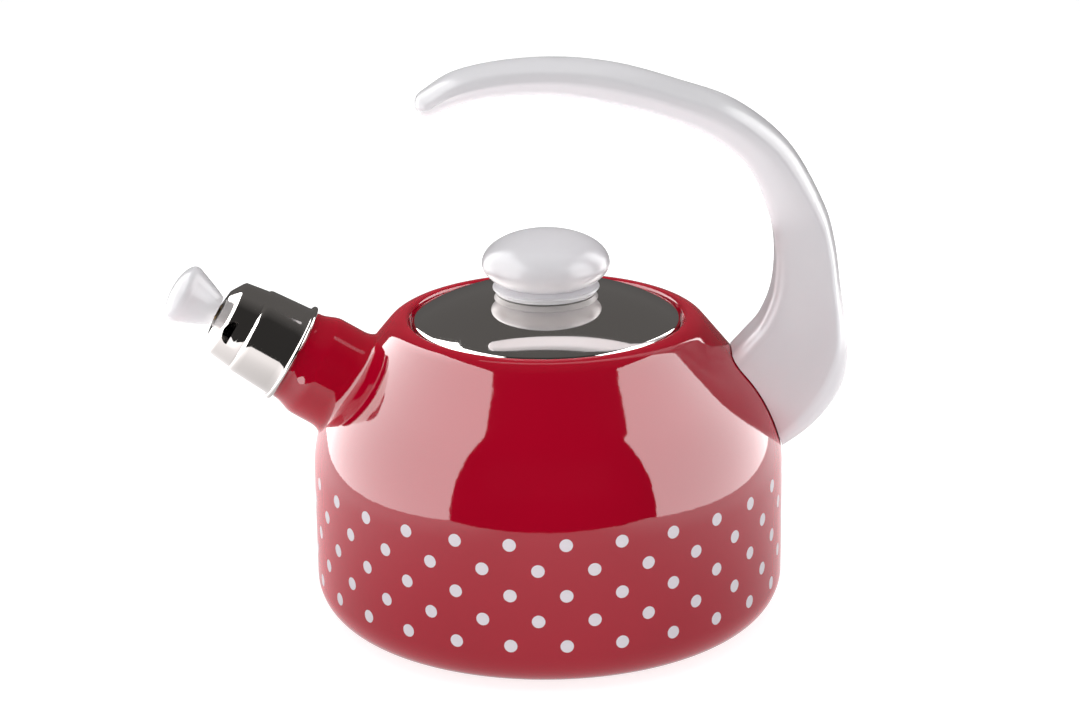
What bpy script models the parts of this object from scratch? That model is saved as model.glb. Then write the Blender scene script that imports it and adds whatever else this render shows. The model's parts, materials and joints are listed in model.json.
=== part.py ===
"""Stovetop whistling kettle: enamelled steel body and spout, domed lid, whistle cap, moulded handle.

Blender 4.5, metres, +Z up. The origin is the middle of the flat base. The spout points along -X and the
handle stands at +X. The turned pieces of the spout and the whistle hang on one empty on the spout's axis.
"""

import math

import bmesh
import bpy
from mathutils import Vector

MM = 0.001
MERGE_DISTANCE = 0.01 * MM
SMOOTH_ANGLE = math.radians(35)

# Fits
GAP = 0.3 * MM
LID_CLEARANCE = 1.3 * MM
SKIRT_CLEARANCE = 0.6 * MM
SCREW_HOLE_CLEARANCE = 0.5 * MM

# Body: straight wall, rounded base corner, arched shoulder, cone, rolled mouth
BODY_RADIUS = 90.0 * MM
BODY_WALL = 1.2 * MM
BASE_CORNER = 15.5 * MM
WALL_HEIGHT = 57.2 * MM
SHOULDER_RADIUS = 57.5 * MM
SHOULDER_ANGLE = math.radians(39.7)
MOUTH_CREST_RADIUS = 53.8 * MM
MOUTH_OUTER_ROLL = 9.3 * MM
MOUTH_INNER_ROLL = 1.5 * MM
SEAT_BELOW_CREST = 2.4 * MM
SEAT_WIDTH = 2.6 * MM
SEAT_DROP = 1.2 * MM
SEAT_BEND = 0.3
NECK_CORNER = 0.75 * MM
NECK_DEPTH = 4.0 * MM

# Lid
LID_RISE = 11.2 * MM
LID_SHAPE = 2.5
LID_SHEET = 0.8 * MM
LID_EDGE_DROP = 1.3 * MM
LID_RINGS = (0, 0.2, 0.4, 0.6, 0.75, 0.88, 1)
SKIRT_SHEET = 0.6 * MM
SKIRT_DEPTH = 9.0 * MM
SKIRT_FLANGE = 7.0 * MM
SKIRT_RINGS = (0, 0.3, 0.6, 0.85)
SKIRT_LID_GAP = 0.4 * MM
KNOB_FOOT_RADIUS = 18.9 * MM
KNOB_FOOT_FLARE = 1.4 * MM
KNOB_FOOT_HEIGHT = 2.4 * MM
KNOB_GROOVE = 0.6 * MM
KNOB_RADIUS = 24.2 * MM
KNOB_BULGE_BELOW = 8.8 * MM
KNOB_BULGE_ABOVE = 12.0 * MM
KNOB_RINGS_ABOVE = (80, 68, 55, 42, 28, 14, 0)
KNOB_RINGS_BELOW = (-14, -28, -42)
KNOB_UNDERCUT = -56
KNOB_WALL = 3.0 * MM
KNOB_RECESS = 9.0 * MM
KNOB_BOSS_RADIUS = 7.0 * MM
LID_SCREW_RADIUS = 2.5 * MM
LID_SCREW_HEAD_RADIUS = 4.8 * MM
LID_SCREW_HEAD = 2.6 * MM
LID_SCREW_LENGTH = 15.0 * MM
LID_WASHER_RADIUS = 7.5 * MM
WASHER_THICKNESS = 1.0 * MM
INSERT_WALL = 1.4 * MM
SCREW_TIP_CHAMFER = 0.25
SCREW_HEAD_CROWN = 0.8

# Spout, turned round its own axis
SPOUT_ELEVATION = math.radians(31.0)
SPOUT_BELOW_CONE = math.radians(3.2)
SPOUT_RADIUS = 20.3 * MM
SPOUT_WALL = 1.2 * MM
SPOUT_BEND_LENGTH = 9.0 * MM
SPOUT_BEND_RINGS = 6
SPOUT_BORE_REACH = 30.0 * MM
WHISTLE_SEAT = 21.8 * MM
WHISTLE_SEAT_LENGTH = 2.2 * MM
WHISTLE_SEAT_STEP = 0.7 * MM
SPOUT_PLUG_LENGTH = 15.0 * MM

# Whistle cap, measured forward from its rolled rear bead
CAP_SHEET = 0.6 * MM
CAP_BEAD_RADIUS = 0.95 * MM
CAP_BEAD_STANDOFF = 0.75 * MM
CAP_BEAD_START = 110
CAP_BEAD_END = -150
CAP_REAR_RADIUS = 18.2 * MM
CAP_TAPER = 1.1 * MM
CAP_STEP = 17.5 * MM
CAP_STEP_DEPTH = 0.85 * MM
CAP_STEP_LENGTH = 1.2 * MM
CAP_FRONT_TAPER = 1.15 * MM
CAP_FRONT = 27.7 * MM
CAP_NOSE_RADIUS = 9.4 * MM
CAP_NOSE_LENGTH = 3.7 * MM
CAP_NOSE_RISE = 1.0 * MM
STEAM_SLOT_WIDTH = 9.8 * MM
STEAM_SLOT_LENGTH = 3.7 * MM
STEAM_SLOT_START = 24.2 * MM
STEAM_SLOT_POINTS = 8
REED_HOLE_RADIUS = 1.6 * MM
REED_SHEET = 0.6 * MM
REAR_REED_FLANGE = 0.8 * MM
REAR_REED_DEPTH = 2.4 * MM
REED_CHAMBER = 2.4 * MM
FRONT_REED_RIM = 1.6 * MM
CAP_KNOB_NECK_RADIUS = 5.75 * MM
CAP_KNOB_RADIUS = 11.5 * MM
CAP_KNOB_LENGTH = 18.8 * MM
CAP_KNOB_CROWN = 5.0 * MM
CAP_KNOB_FLARE = 0.78
CAP_KNOB_CROWN_RINGS = (75, 58, 40, 20, 0)
CAP_KNOB_FLARE_RINGS = 7
CAP_KNOB_HOLE = 9.0 * MM
CAP_SCREW_RADIUS = 1.7 * MM
CAP_SCREW_HEAD_RADIUS = 3.4 * MM
CAP_SCREW_HEAD = 2.0 * MM
CAP_SCREW_GRIP = 8.0 * MM
CAP_WASHER_RADIUS = 4.4 * MM
CAP_WASHER_THICKNESS = 0.6 * MM

# Handle foot, bracket and screw
HANDLE_BELOW_CONE = math.radians(13.04)
HANDLE_WALL = 3.6 * MM
HANDLE_BODY_GAP = 0.4 * MM
BRACKET_SHEET = 2.5 * MM
BRACKET_WIDTH = 16.0 * MM
BRACKET_FOOT_LENGTH = 12.1 * MM
BRACKET_FOOT_HEIGHT = 3.0 * MM
BRACKET_FOOT_DEPTH = 5.0 * MM
BRACKET_REACH = 22.0 * MM
BRACKET_SCREW_REACH = 15.0 * MM
HANDLE_SCREW_RADIUS = 2.5 * MM
HANDLE_SCREW_HEAD_RADIUS = 4.5 * MM
HANDLE_SCREW_HEAD = 3.0 * MM
HANDLE_SCREW_FLOOR = 8.0 * MM
HANDLE_SCREW_HOLE_REACH = 40.0 * MM
HANDLE_BOSS_WALL = 3.6 * MM
NUT_RADIUS = 4.6 * MM
NUT_HEIGHT = 4.0 * MM

# How finely round pieces are divided
BODY_STEPS = 48
TUBE_STEPS = 32
SMALL_STEPS = 20
BASE_CORNER_RINGS = 6
SHOULDER_RINGS = 8
ROLL_RINGS = 4
BEAD_RINGS = 8

# The handle's sections from tip to root, as offsets in millimetres from its foot point on the body:
# outer x, outer z, inner x, inner z, half width, and how far in from the outer face its widest line lies.
HANDLE_SECTIONS = (
    (-129.2, 121.2, -124.9, 112.8, 8.2, 0.40),
    (-118.0, 128.0, -114.6, 117.2, 10.6, 0.30),
    (-100.0, 131.9, -99.0, 119.9, 11.7, 0.25),
    (-78.0, 133.0, -80.0, 120.0, 12.3, 0.24),
    (-55.9, 130.4, -59.4, 116.4, 12.6, 0.24),
    (-33.4, 123.8, -38.9, 111.2, 12.9, 0.25),
    (-11.6, 116.6, -20.9, 102.9, 13.1, 0.26),
    (8.0, 100.8, -7.5, 91.5, 13.3, 0.28),
    (20.0, 78.7, -0.4, 75.2, 13.5, 0.31),
    (24.8, 63.2, 2.5, 61.0, 13.9, 0.33),
    (27.8, 42.0, 1.8, 44.4, 15.2, 0.35),
    (30.3, 26.0, -2.6, 32.5, 17.0, 0.38),
    (30.8, 15.0, -8.4, 25.6, 18.6, 0.42),
    (27.6, 3.0, -14.5, 18.9, 19.6, 0.47),
    (19.1, -9.2, -20.6, 11.6, 18.2, 0.50),
    (7.6, -19.0, -25.9, 4.0, 13.4, 0.50),
    (-2.4, -23.5, -29.9, -6.0, 7.0, 0.50),
)
SECTIONS_BETWEEN = 2
SECTION_POINTS = 18
OUTER_SQUARENESS = 0.9
INNER_SQUARENESS = 0.55
TIP_ROUNDING = 5.0 * MM
TIP_RINGS = (75, 50, 25)
CAVITY_FIRST_SECTION = 10


def clear_scene():
    for item in list(bpy.data.objects):
        bpy.data.objects.remove(item)


def linear(value):
    value /= 255
    return value / 12.92 if value <= 0.04045 else ((value + 0.055) / 1.055) ** 2.4


def material(name, red, green, blue, roughness, metallic=0.0):
    made = bpy.data.materials.new(name)
    made.use_nodes = True
    shader = made.node_tree.nodes["Principled BSDF"]
    shader.inputs["Base Color"].default_value = (linear(red), linear(green), linear(blue), 1)
    shader.inputs["Roughness"].default_value = roughness
    shader.inputs["Metallic"].default_value = metallic
    return made


def add_object(name, mesh, finish):
    piece = bpy.data.objects.new(name, mesh)
    bpy.context.scene.collection.objects.link(piece)
    if finish:
        mesh.materials.append(finish)
    return piece


def smooth(piece):
    piece.data.shade_smooth()
    piece.data.set_sharp_from_angle(angle=SMOOTH_ANGLE)


def mesh_of(name, points, faces):
    mesh = bpy.data.meshes.new(name)
    mesh.from_pydata(points, [], faces)
    mesh.update()
    return mesh


def turned(name, profile, finish, steps, closed=True):
    """A piece turned round its local Z: the profile's (radius, height) points run down its outer side."""
    points = [(radius, 0.0, height) for radius, height in profile]
    edges = [(i, i + 1) for i in range(len(points) - 1)]
    if closed and min(profile[0][0], profile[-1][0]) > 0:
        edges.append((len(points) - 1, 0))
    mesh = bpy.data.meshes.new(name)
    mesh.from_pydata(points, edges, [])
    piece = add_object(name, mesh, finish)
    screw = piece.modifiers.new("turn", "SCREW")
    screw.axis = "Z"
    screw.steps = steps
    screw.render_steps = steps
    screw.use_merge_vertices = True
    screw.merge_threshold = MERGE_DISTANCE
    screw.use_smooth_shade = True
    return piece


def arc(centre, radius, start, end, count):
    """Points on an arc from one angle to another, in degrees from +radius towards +height."""
    made = []
    for i in range(count + 1):
        angle = math.radians(start + (end - start) * i / count)
        made.append((centre[0] + radius * math.cos(angle), centre[1] + radius * math.sin(angle)))
    return made


def cut(piece, cutter):
    boolean = piece.modifiers.new("cut", "BOOLEAN")
    boolean.operation = "DIFFERENCE"
    boolean.solver = "EXACT"
    boolean.object = cutter
    cutter.hide_render = True
    cutter.display_type = "WIRE"


def cylinder(name, radius, low, high, steps=SMALL_STEPS):
    return turned(name, [(0, high), (radius, high), (radius, low), (0, low)], None, steps)


def place(piece, parent=None, origin=(0, 0, 0), rotation=(0, 0, 0)):
    piece.parent = parent
    piece.location = origin
    piece.rotation_euler = rotation
    return piece


# Body outline, shared by the shell, by the foot of the spout and by the foot of the handle


def body_corner_points():
    """The shoulder arc's end and the mouth roll's centre, as (radius, height)."""
    shoulder_end = (
        BODY_RADIUS - SHOULDER_RADIUS * (1 - math.cos(SHOULDER_ANGLE)),
        WALL_HEIGHT + SHOULDER_RADIUS * math.sin(SHOULDER_ANGLE),
    )
    roll_inset = MOUTH_OUTER_ROLL * math.cos(SHOULDER_ANGLE)
    cone = (shoulder_end[0] - roll_inset - MOUTH_CREST_RADIUS) / math.sin(SHOULDER_ANGLE)
    cone_end_height = shoulder_end[1] + cone * math.cos(SHOULDER_ANGLE)
    return shoulder_end, (MOUTH_CREST_RADIUS, cone_end_height - MOUTH_OUTER_ROLL * math.sin(SHOULDER_ANGLE))


def mouth_crest_height():
    return body_corner_points()[1][1] + MOUTH_OUTER_ROLL


def seat_radius():
    """Where the rolled mouth's inner side meets the ledge that the lid rests on."""
    return MOUTH_CREST_RADIUS - MOUTH_INNER_ROLL


def neck_radius():
    return seat_radius() - SEAT_WIDTH - NECK_CORNER


def seat_height():
    return mouth_crest_height() - SEAT_BELOW_CREST


def body_outside(grow=0.0):
    """The outside from the base's middle to the mouth's crest, moved out by grow."""
    roll_centre = body_corner_points()[1]
    shoulder_degrees = math.degrees(SHOULDER_ANGLE)
    corner = (BODY_RADIUS - BASE_CORNER, BASE_CORNER)
    outline = [(0, -grow), (corner[0] / 2, -grow)]
    outline += arc(corner, BASE_CORNER + grow, -90, 0, BASE_CORNER_RINGS)
    shoulder = (BODY_RADIUS - SHOULDER_RADIUS, WALL_HEIGHT)
    outline += arc(shoulder, SHOULDER_RADIUS + grow, 0, shoulder_degrees, SHOULDER_RINGS)
    outline += arc(roll_centre, MOUTH_OUTER_ROLL + grow, shoulder_degrees, 90, ROLL_RINGS)
    return outline


def body_inside_of_mouth():
    """From the mouth's crest over the roll, across the lid's ledge and down the neck."""
    crest = mouth_crest_height()
    roll_centre = (MOUTH_CREST_RADIUS, crest - MOUTH_INNER_ROLL)
    outline = arc(roll_centre, MOUTH_INNER_ROLL, 90, 180, ROLL_RINGS)[1:]
    ledge = seat_height() - SEAT_DROP
    outline.append((seat_radius() - SEAT_BEND * SEAT_WIDTH, seat_height() - SEAT_BEND * SEAT_DROP))
    outline.append((seat_radius() - SEAT_WIDTH, ledge))
    outline.append((neck_radius(), ledge - NECK_CORNER))
    outline.append((neck_radius(), ledge - NECK_DEPTH))
    return outline


def shoulder_point(below_cone):
    """(radius, height, normal's elevation) of the shoulder arc, at an angle back from its end."""
    elevation = SHOULDER_ANGLE - below_cone
    radius = BODY_RADIUS - SHOULDER_RADIUS * (1 - math.cos(elevation))
    return radius, WALL_HEIGHT + SHOULDER_RADIUS * math.sin(elevation), elevation


def body_cutter(name, grow):
    """The body's whole outside as a solid, for trimming what is welded or seated on it."""
    outline = body_outside(grow)[::-1]
    return turned(name, [(0, outline[0][1])] + outline, None, BODY_STEPS)


# Body and spout


def make_spout_axis():
    """The empty on the spout's axis, where it pierces the shoulder, with its Z along the spout."""
    radius, height, _ = shoulder_point(SPOUT_BELOW_CONE)
    axis = bpy.data.objects.new("spout_axis", None)
    bpy.context.scene.collection.objects.link(axis)
    return place(axis, None, (-radius, 0, height), (0, SPOUT_ELEVATION - math.pi / 2, 0))


def make_body_shell(spout_axis, finish):
    outline = (body_outside() + body_inside_of_mouth())[::-1]
    shell = turned("body_shell", outline, finish, BODY_STEPS, closed=False)
    solidify = shell.modifiers.new("sheet", "SOLIDIFY")
    solidify.thickness = BODY_WALL
    solidify.offset = -1
    solidify.use_even_offset = True
    bore_radius = SPOUT_RADIUS - SPOUT_WALL
    bore = cylinder("spout_bore_cutter", bore_radius, -SPOUT_BORE_REACH, SPOUT_BORE_REACH, TUBE_STEPS)
    cut(shell, place(bore, spout_axis))
    return shell


def spout_outside():
    """The spout's outside from its mouth down into the body, as (radius, distance along its axis)."""
    mouth = WHISTLE_SEAT + SPOUT_PLUG_LENGTH
    neck = WHISTLE_SEAT - WHISTLE_SEAT_LENGTH
    plug_radius = CAP_REAR_RADIUS - CAP_SHEET - GAP
    neck_radius = plug_radius + WHISTLE_SEAT_STEP
    plug_taper = CAP_TAPER * SPOUT_PLUG_LENGTH / CAP_STEP
    outline = [(plug_radius - plug_taper, mouth), (plug_radius, WHISTLE_SEAT)]
    for i in range(SPOUT_BEND_RINGS + 1):
        share = i / SPOUT_BEND_RINGS
        blend = (1 - math.cos(math.pi * share)) / 2
        radius = neck_radius + (SPOUT_RADIUS - neck_radius) * blend
        outline.append((radius, neck - SPOUT_BEND_LENGTH * share))
    outline.append((SPOUT_RADIUS, -SPOUT_RADIUS))
    return outline


def make_spout(spout_axis, finish):
    outside = spout_outside()
    inside = [(radius - SPOUT_WALL, height) for radius, height in outside]
    spout = turned("spout", outside + inside[::-1], finish, TUBE_STEPS)
    place(spout, spout_axis)
    cut(spout, body_cutter("spout_foot_cutter", GAP))
    return spout


# Lid


def lid_radius():
    return seat_radius() - LID_CLEARANCE


def lid_edge_height():
    """The height of the lid's dome where it turns down into its edge."""
    return seat_height() + GAP + LID_EDGE_DROP


def lid_top(radius):
    return lid_edge_height() + LID_RISE * (1 - (radius / lid_radius()) ** LID_SHAPE)


def lid_underside(radius, clearance):
    """The height a clearance below the lid's sheet, both measured square to its slope at a radius."""
    slope = LID_RISE * LID_SHAPE / lid_radius() * (radius / lid_radius()) ** (LID_SHAPE - 1)
    return lid_top(radius) - (LID_SHEET + clearance) * math.hypot(1, slope)


def make_lid_plate(finish):
    hole = LID_SCREW_RADIUS + SCREW_HOLE_CLEARANCE
    reach = lid_radius() - LID_SHEET
    radii = [hole + (reach - hole) * share for share in LID_RINGS]
    outline = [(radius, lid_top(radius)) for radius in radii]
    outline.append((lid_radius(), lid_edge_height() - LID_SHEET / 2))
    outline.append((lid_radius(), lid_edge_height() - LID_EDGE_DROP))
    plate = turned("lid_plate", outline, finish, BODY_STEPS, closed=False)
    solidify = plate.modifiers.new("sheet", "SOLIDIFY")
    solidify.thickness = LID_SHEET
    solidify.offset = -1
    solidify.use_even_offset = True
    return plate


def make_lid_skirt(finish):
    outer = neck_radius() - SKIRT_CLEARANCE
    bottom = seat_height() - SKIRT_DEPTH
    radii = [outer - SKIRT_FLANGE * (1 - share) for share in SKIRT_RINGS]
    outline = [(radius, lid_underside(radius, SKIRT_LID_GAP)) for radius in radii]
    outline.append((outer, lid_underside(outer, SKIRT_LID_GAP + 2 * SKIRT_SHEET)))
    outline.append((outer, bottom))
    skirt = turned("lid_skirt", outline, finish, BODY_STEPS, closed=False)
    solidify = skirt.modifiers.new("sheet", "SOLIDIFY")
    solidify.thickness = SKIRT_SHEET
    solidify.offset = -1
    solidify.use_even_offset = True
    return skirt


def knob_base_height():
    return lid_top(KNOB_FOOT_RADIUS) + GAP


def make_lid_knob(finish):
    base = knob_base_height()
    foot_top = base + KNOB_FOOT_HEIGHT
    waist = KNOB_FOOT_RADIUS + KNOB_FOOT_FLARE
    bulge = foot_top + KNOB_BULGE_BELOW
    depth = -KNOB_BULGE_BELOW / math.sin(math.radians(KNOB_UNDERCUT))
    outline = [(0, bulge + KNOB_BULGE_ABOVE)]
    for degrees in KNOB_RINGS_ABOVE + KNOB_RINGS_BELOW:
        angle = math.radians(degrees)
        height = KNOB_BULGE_ABOVE if degrees > 0 else depth
        outline.append((KNOB_RADIUS * math.cos(angle), bulge + height * math.sin(angle)))
    outline.append((waist - KNOB_GROOVE, foot_top))
    outline.append((waist, foot_top - KNOB_GROOVE))
    outline.append((KNOB_FOOT_RADIUS, base))
    inner_radius = KNOB_FOOT_RADIUS - KNOB_WALL
    outline.append((inner_radius, lid_top(inner_radius) + GAP))
    outline.append((inner_radius, base + KNOB_RECESS))
    outline.append((KNOB_BOSS_RADIUS, base + KNOB_RECESS))
    boss_bottom = lid_top(0) + GAP
    outline.append((KNOB_BOSS_RADIUS, boss_bottom))
    hole = LID_SCREW_RADIUS + GAP + INSERT_WALL + GAP
    outline.append((hole, boss_bottom))
    outline.append((hole, boss_bottom + LID_SCREW_LENGTH))
    outline.append((0, boss_bottom + LID_SCREW_LENGTH))
    return turned("lid_knob", outline, finish, TUBE_STEPS)


def ring_profile(inner, outer, low, high):
    return [(inner, high), (outer, high), (outer, low), (inner, low)]


def screw_profile(shank_radius, head_radius, seat, head_height, tip):
    """A pan-head screw standing point up: its head is under the height of its seat."""
    chamfer = SCREW_TIP_CHAMFER * shank_radius
    return [
        (0, tip),
        (shank_radius - chamfer, tip),
        (shank_radius, tip - chamfer),
        (shank_radius, seat),
        (head_radius, seat),
        (head_radius, seat - head_height / 2),
        (SCREW_HEAD_CROWN * head_radius, seat - head_height),
        (0, seat - head_height),
    ]


def make_lid_fixings(steel, brass):
    boss_bottom = lid_top(0) + GAP
    bore = LID_SCREW_RADIUS + GAP
    insert = ring_profile(bore, bore + INSERT_WALL, boss_bottom + GAP, boss_bottom + LID_SCREW_LENGTH - GAP)
    turned("lid_knob_insert", insert, brass, SMALL_STEPS)
    washer_top = lid_top(LID_WASHER_RADIUS) - LID_SHEET - 2 * GAP
    washer_bottom = washer_top - WASHER_THICKNESS
    washer = ring_profile(bore, LID_WASHER_RADIUS, washer_bottom, washer_top)
    turned("lid_knob_washer", washer, steel, SMALL_STEPS)
    screw = screw_profile(
        LID_SCREW_RADIUS,
        LID_SCREW_HEAD_RADIUS,
        washer_bottom - GAP,
        LID_SCREW_HEAD,
        boss_bottom + LID_SCREW_LENGTH - 2 * GAP - INSERT_WALL,
    )
    turned("lid_knob_screw", screw, steel, SMALL_STEPS)


# Whistle cap


def cap_place(spout_axis, piece):
    return place(piece, spout_axis, (0, 0, WHISTLE_SEAT))


def cap_step_radius():
    """The cap's outside where its long rear taper ends at the step."""
    return CAP_REAR_RADIUS - CAP_TAPER


def cap_front_radius():
    return cap_step_radius() - CAP_STEP_DEPTH - CAP_FRONT_TAPER


def cap_nose():
    """Where the knob's neck meets the cap's flat nose, along the cap."""
    return CAP_FRONT + CAP_NOSE_LENGTH + CAP_NOSE_RISE


def cap_inner_radius(height):
    """The inside of the cap's front cylinder at a distance along the cap."""
    start = CAP_STEP + CAP_STEP_LENGTH
    rear = cap_step_radius() - CAP_STEP_DEPTH
    share = (height - start) / (CAP_FRONT - start)
    return rear + (cap_front_radius() - rear) * share - CAP_SHEET


def make_whistle_cap(spout_axis, finish):
    hole = CAP_SCREW_RADIUS + SCREW_HOLE_CLEARANCE
    step_front = (cap_step_radius() - CAP_STEP_DEPTH, CAP_STEP + CAP_STEP_LENGTH)
    outside = [
        (hole, cap_nose()),
        (CAP_NOSE_RADIUS, CAP_FRONT + CAP_NOSE_LENGTH),
        (cap_front_radius(), CAP_FRONT),
        step_front,
        (cap_step_radius(), CAP_STEP),
        (CAP_REAR_RADIUS, CAP_BEAD_RADIUS + GAP),
    ]
    bead = (CAP_REAR_RADIUS + CAP_BEAD_STANDOFF, 0)
    outside += arc(bead, CAP_BEAD_RADIUS, CAP_BEAD_START, CAP_BEAD_END, BEAD_RINGS)
    inside = [
        (CAP_REAR_RADIUS - CAP_SHEET, -CAP_SHEET),
        (CAP_REAR_RADIUS - CAP_SHEET, CAP_BEAD_RADIUS),
        (cap_step_radius() - CAP_SHEET, CAP_STEP - CAP_SHEET / 2),
        (step_front[0] - CAP_SHEET, step_front[1] - CAP_SHEET / 2),
        (cap_front_radius() - CAP_SHEET, CAP_FRONT - CAP_SHEET / 2),
        (CAP_NOSE_RADIUS - CAP_SHEET / 2, CAP_FRONT + CAP_NOSE_LENGTH - CAP_SHEET),
        (hole, cap_nose() - CAP_SHEET),
    ]
    cap = turned("whistle_cap", outside + inside, finish, TUBE_STEPS)
    cap_place(spout_axis, cap)
    for name, side in (("near", -1), ("far", 1)):
        slot = steam_slot_cutter("steam_slot_cutter_" + name, side)
        cut(cap, cap_place(spout_axis, slot))
    return cap


def steam_slot_cutter(name, side):
    """A half-moon prism pointing out sideways: its straight edge is the one nearer the kettle."""
    rim = []
    for i in range(STEAM_SLOT_POINTS + 1):
        angle = math.pi * i / STEAM_SLOT_POINTS
        across = STEAM_SLOT_WIDTH / 2 * math.cos(angle)
        rim.append((across, STEAM_SLOT_START + STEAM_SLOT_LENGTH * math.sin(angle)))
    made = bmesh.new()
    verts = [made.verts.new((across, side * cap_front_radius() / 2, height)) for across, height in rim]
    face = made.faces.new(verts)
    push = bmesh.ops.extrude_face_region(made, geom=[face])
    moved = [item for item in push["geom"] if isinstance(item, bmesh.types.BMVert)]
    bmesh.ops.translate(made, verts=moved, vec=(0, side * cap_front_radius(), 0))
    bmesh.ops.recalc_face_normals(made, faces=made.faces)
    mesh = bpy.data.meshes.new(name)
    made.to_mesh(mesh)
    made.free()
    return add_object(name, mesh, None)


def make_reeds(spout_axis, finish):
    """The two holed plates whose gap sings: a flanged cup at the cap's step, then a rimmed disc."""
    seat = CAP_STEP - CAP_SHEET
    rear_face = seat + REAR_REED_DEPTH
    rear_radius = cap_inner_radius(rear_face) - GAP
    flange_radius = rear_radius + REAR_REED_FLANGE
    rear = [
        (REED_HOLE_RADIUS, rear_face),
        (rear_radius, rear_face),
        (rear_radius, seat),
        (flange_radius, seat - REED_SHEET / 2),
        (flange_radius, seat - 1.5 * REED_SHEET),
        (rear_radius - REED_SHEET, seat - 1.5 * REED_SHEET),
        (rear_radius - REED_SHEET, rear_face - REED_SHEET),
        (REED_HOLE_RADIUS, rear_face - REED_SHEET),
    ]
    cap_place(spout_axis, turned("whistle_rear_reed", rear, finish, TUBE_STEPS))
    front_face = rear_face + REED_CHAMBER + REED_SHEET
    front_radius = cap_inner_radius(front_face) - GAP
    front = [
        (REED_HOLE_RADIUS, front_face),
        (front_radius, front_face),
        (front_radius, front_face - FRONT_REED_RIM),
        (front_radius - REED_SHEET, front_face - FRONT_REED_RIM),
        (front_radius - REED_SHEET, front_face - REED_SHEET),
        (REED_HOLE_RADIUS, front_face - REED_SHEET),
    ]
    cap_place(spout_axis, turned("whistle_front_reed", front, finish, TUBE_STEPS))


def make_whistle_knob(spout_axis, finish):
    """A trumpet-shaped knob: a curved flare from its neck to a wide rounded end."""
    base = cap_nose() + GAP
    end = base + CAP_KNOB_LENGTH
    shoulder = end - CAP_KNOB_CROWN
    outline = [(0, end)]
    for degrees in CAP_KNOB_CROWN_RINGS:
        angle = math.radians(degrees)
        outline.append((CAP_KNOB_RADIUS * math.cos(angle), shoulder + CAP_KNOB_CROWN * math.sin(angle)))
    flare = CAP_KNOB_RADIUS - CAP_KNOB_NECK_RADIUS
    for i in range(1, CAP_KNOB_FLARE_RINGS + 1):
        share = i / CAP_KNOB_FLARE_RINGS
        radius = CAP_KNOB_NECK_RADIUS + flare * (1 - share) ** CAP_KNOB_FLARE
        outline.append((radius, shoulder + (base - shoulder) * share))
    hole = CAP_SCREW_RADIUS + GAP + INSERT_WALL + GAP
    outline.append((hole, base))
    outline.append((hole, base + CAP_KNOB_HOLE))
    outline.append((0, base + CAP_KNOB_HOLE))
    return cap_place(spout_axis, turned("whistle_knob", outline, finish, TUBE_STEPS))


def make_whistle_fixings(spout_axis, steel, brass):
    base = cap_nose() + GAP
    bore = CAP_SCREW_RADIUS + GAP
    insert = ring_profile(bore, bore + INSERT_WALL, base + GAP, base + CAP_KNOB_HOLE - GAP)
    cap_place(spout_axis, turned("whistle_knob_insert", insert, brass, SMALL_STEPS))
    slope = CAP_NOSE_RISE * CAP_WASHER_RADIUS / CAP_NOSE_RADIUS
    washer_top = cap_nose() - CAP_SHEET - slope - GAP
    washer_bottom = washer_top - CAP_WASHER_THICKNESS
    washer = ring_profile(bore, CAP_WASHER_RADIUS, washer_bottom, washer_top)
    cap_place(spout_axis, turned("whistle_knob_washer", washer, steel, SMALL_STEPS))
    screw = screw_profile(
        CAP_SCREW_RADIUS,
        CAP_SCREW_HEAD_RADIUS,
        washer_bottom - GAP,
        CAP_SCREW_HEAD,
        base + CAP_SCREW_GRIP,
    )
    cap_place(spout_axis, turned("whistle_knob_screw", screw, steel, SMALL_STEPS))


# Handle


def make_handle_axis():
    """The empty at the handle's foot on the shoulder: its Z leaves the body, its X points down it."""
    radius, height, elevation = shoulder_point(HANDLE_BELOW_CONE)
    axis = bpy.data.objects.new("handle_axis", None)
    bpy.context.scene.collection.objects.link(axis)
    return place(axis, None, (radius, 0, height), (0, math.pi / 2 - elevation, 0))


def between(values, position):
    """Catmull-Rom value at a fractional position in a list of tuples."""
    last = len(values) - 1
    low = min(int(position), last - 1)
    share = position - low
    a, b, c, d = (values[max(0, min(last, low + i))] for i in (-1, 0, 1, 2))
    made = []
    for p, q, r, s in zip(a, b, c, d):
        curve = 2 * q + (r - p) * share
        curve += (2 * p - 5 * q + 4 * r - s) * share**2 + (3 * q - p - 3 * r + s) * share**3
        made.append(curve / 2)
    return made


def section_ring(section, inset):
    """One closed section: an elliptic crown outside its widest line and a squarer inner half."""
    outer_x, outer_z, inner_x, inner_z, half_width, share = section
    outer = Vector((outer_x * MM, 0, outer_z * MM))
    inner = Vector((inner_x * MM, 0, inner_z * MM))
    depth = (outer - inner).length
    along = (outer - inner) / depth
    widest = outer - along * depth * share
    crown = depth * share - inset
    belly = depth * (1 - share) - inset
    width = half_width * MM - inset
    ring = []
    for i in range(SECTION_POINTS):
        angle = 2 * math.pi * (i + 0.5) / SECTION_POINTS
        across = math.cos(angle)
        rise = math.sin(angle)
        power = OUTER_SQUARENESS if rise > 0 else INNER_SQUARENESS
        across = math.copysign(abs(across) ** power, across)
        rise = math.copysign(abs(rise) ** power, rise)
        point = widest + along * rise * (crown if rise > 0 else belly)
        ring.append(point + Vector((0, across * width, 0)))
    return ring


def tip_rings(ring):
    """Shrinking copies of the first section, smallest first, that round off the handle's free end."""
    middle = sum(ring, Vector()) / len(ring)
    start = Vector((HANDLE_SECTIONS[0][0], 0, HANDLE_SECTIONS[0][1]))
    following = Vector((HANDLE_SECTIONS[1][0], 0, HANDLE_SECTIONS[1][1]))
    forward = (start - following).normalized() * TIP_ROUNDING
    made = []
    for degrees in TIP_RINGS:
        angle = math.radians(degrees)
        reach = forward * math.sin(angle)
        made.append([middle + (point - middle) * math.cos(angle) + reach for point in ring])
    return made


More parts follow.
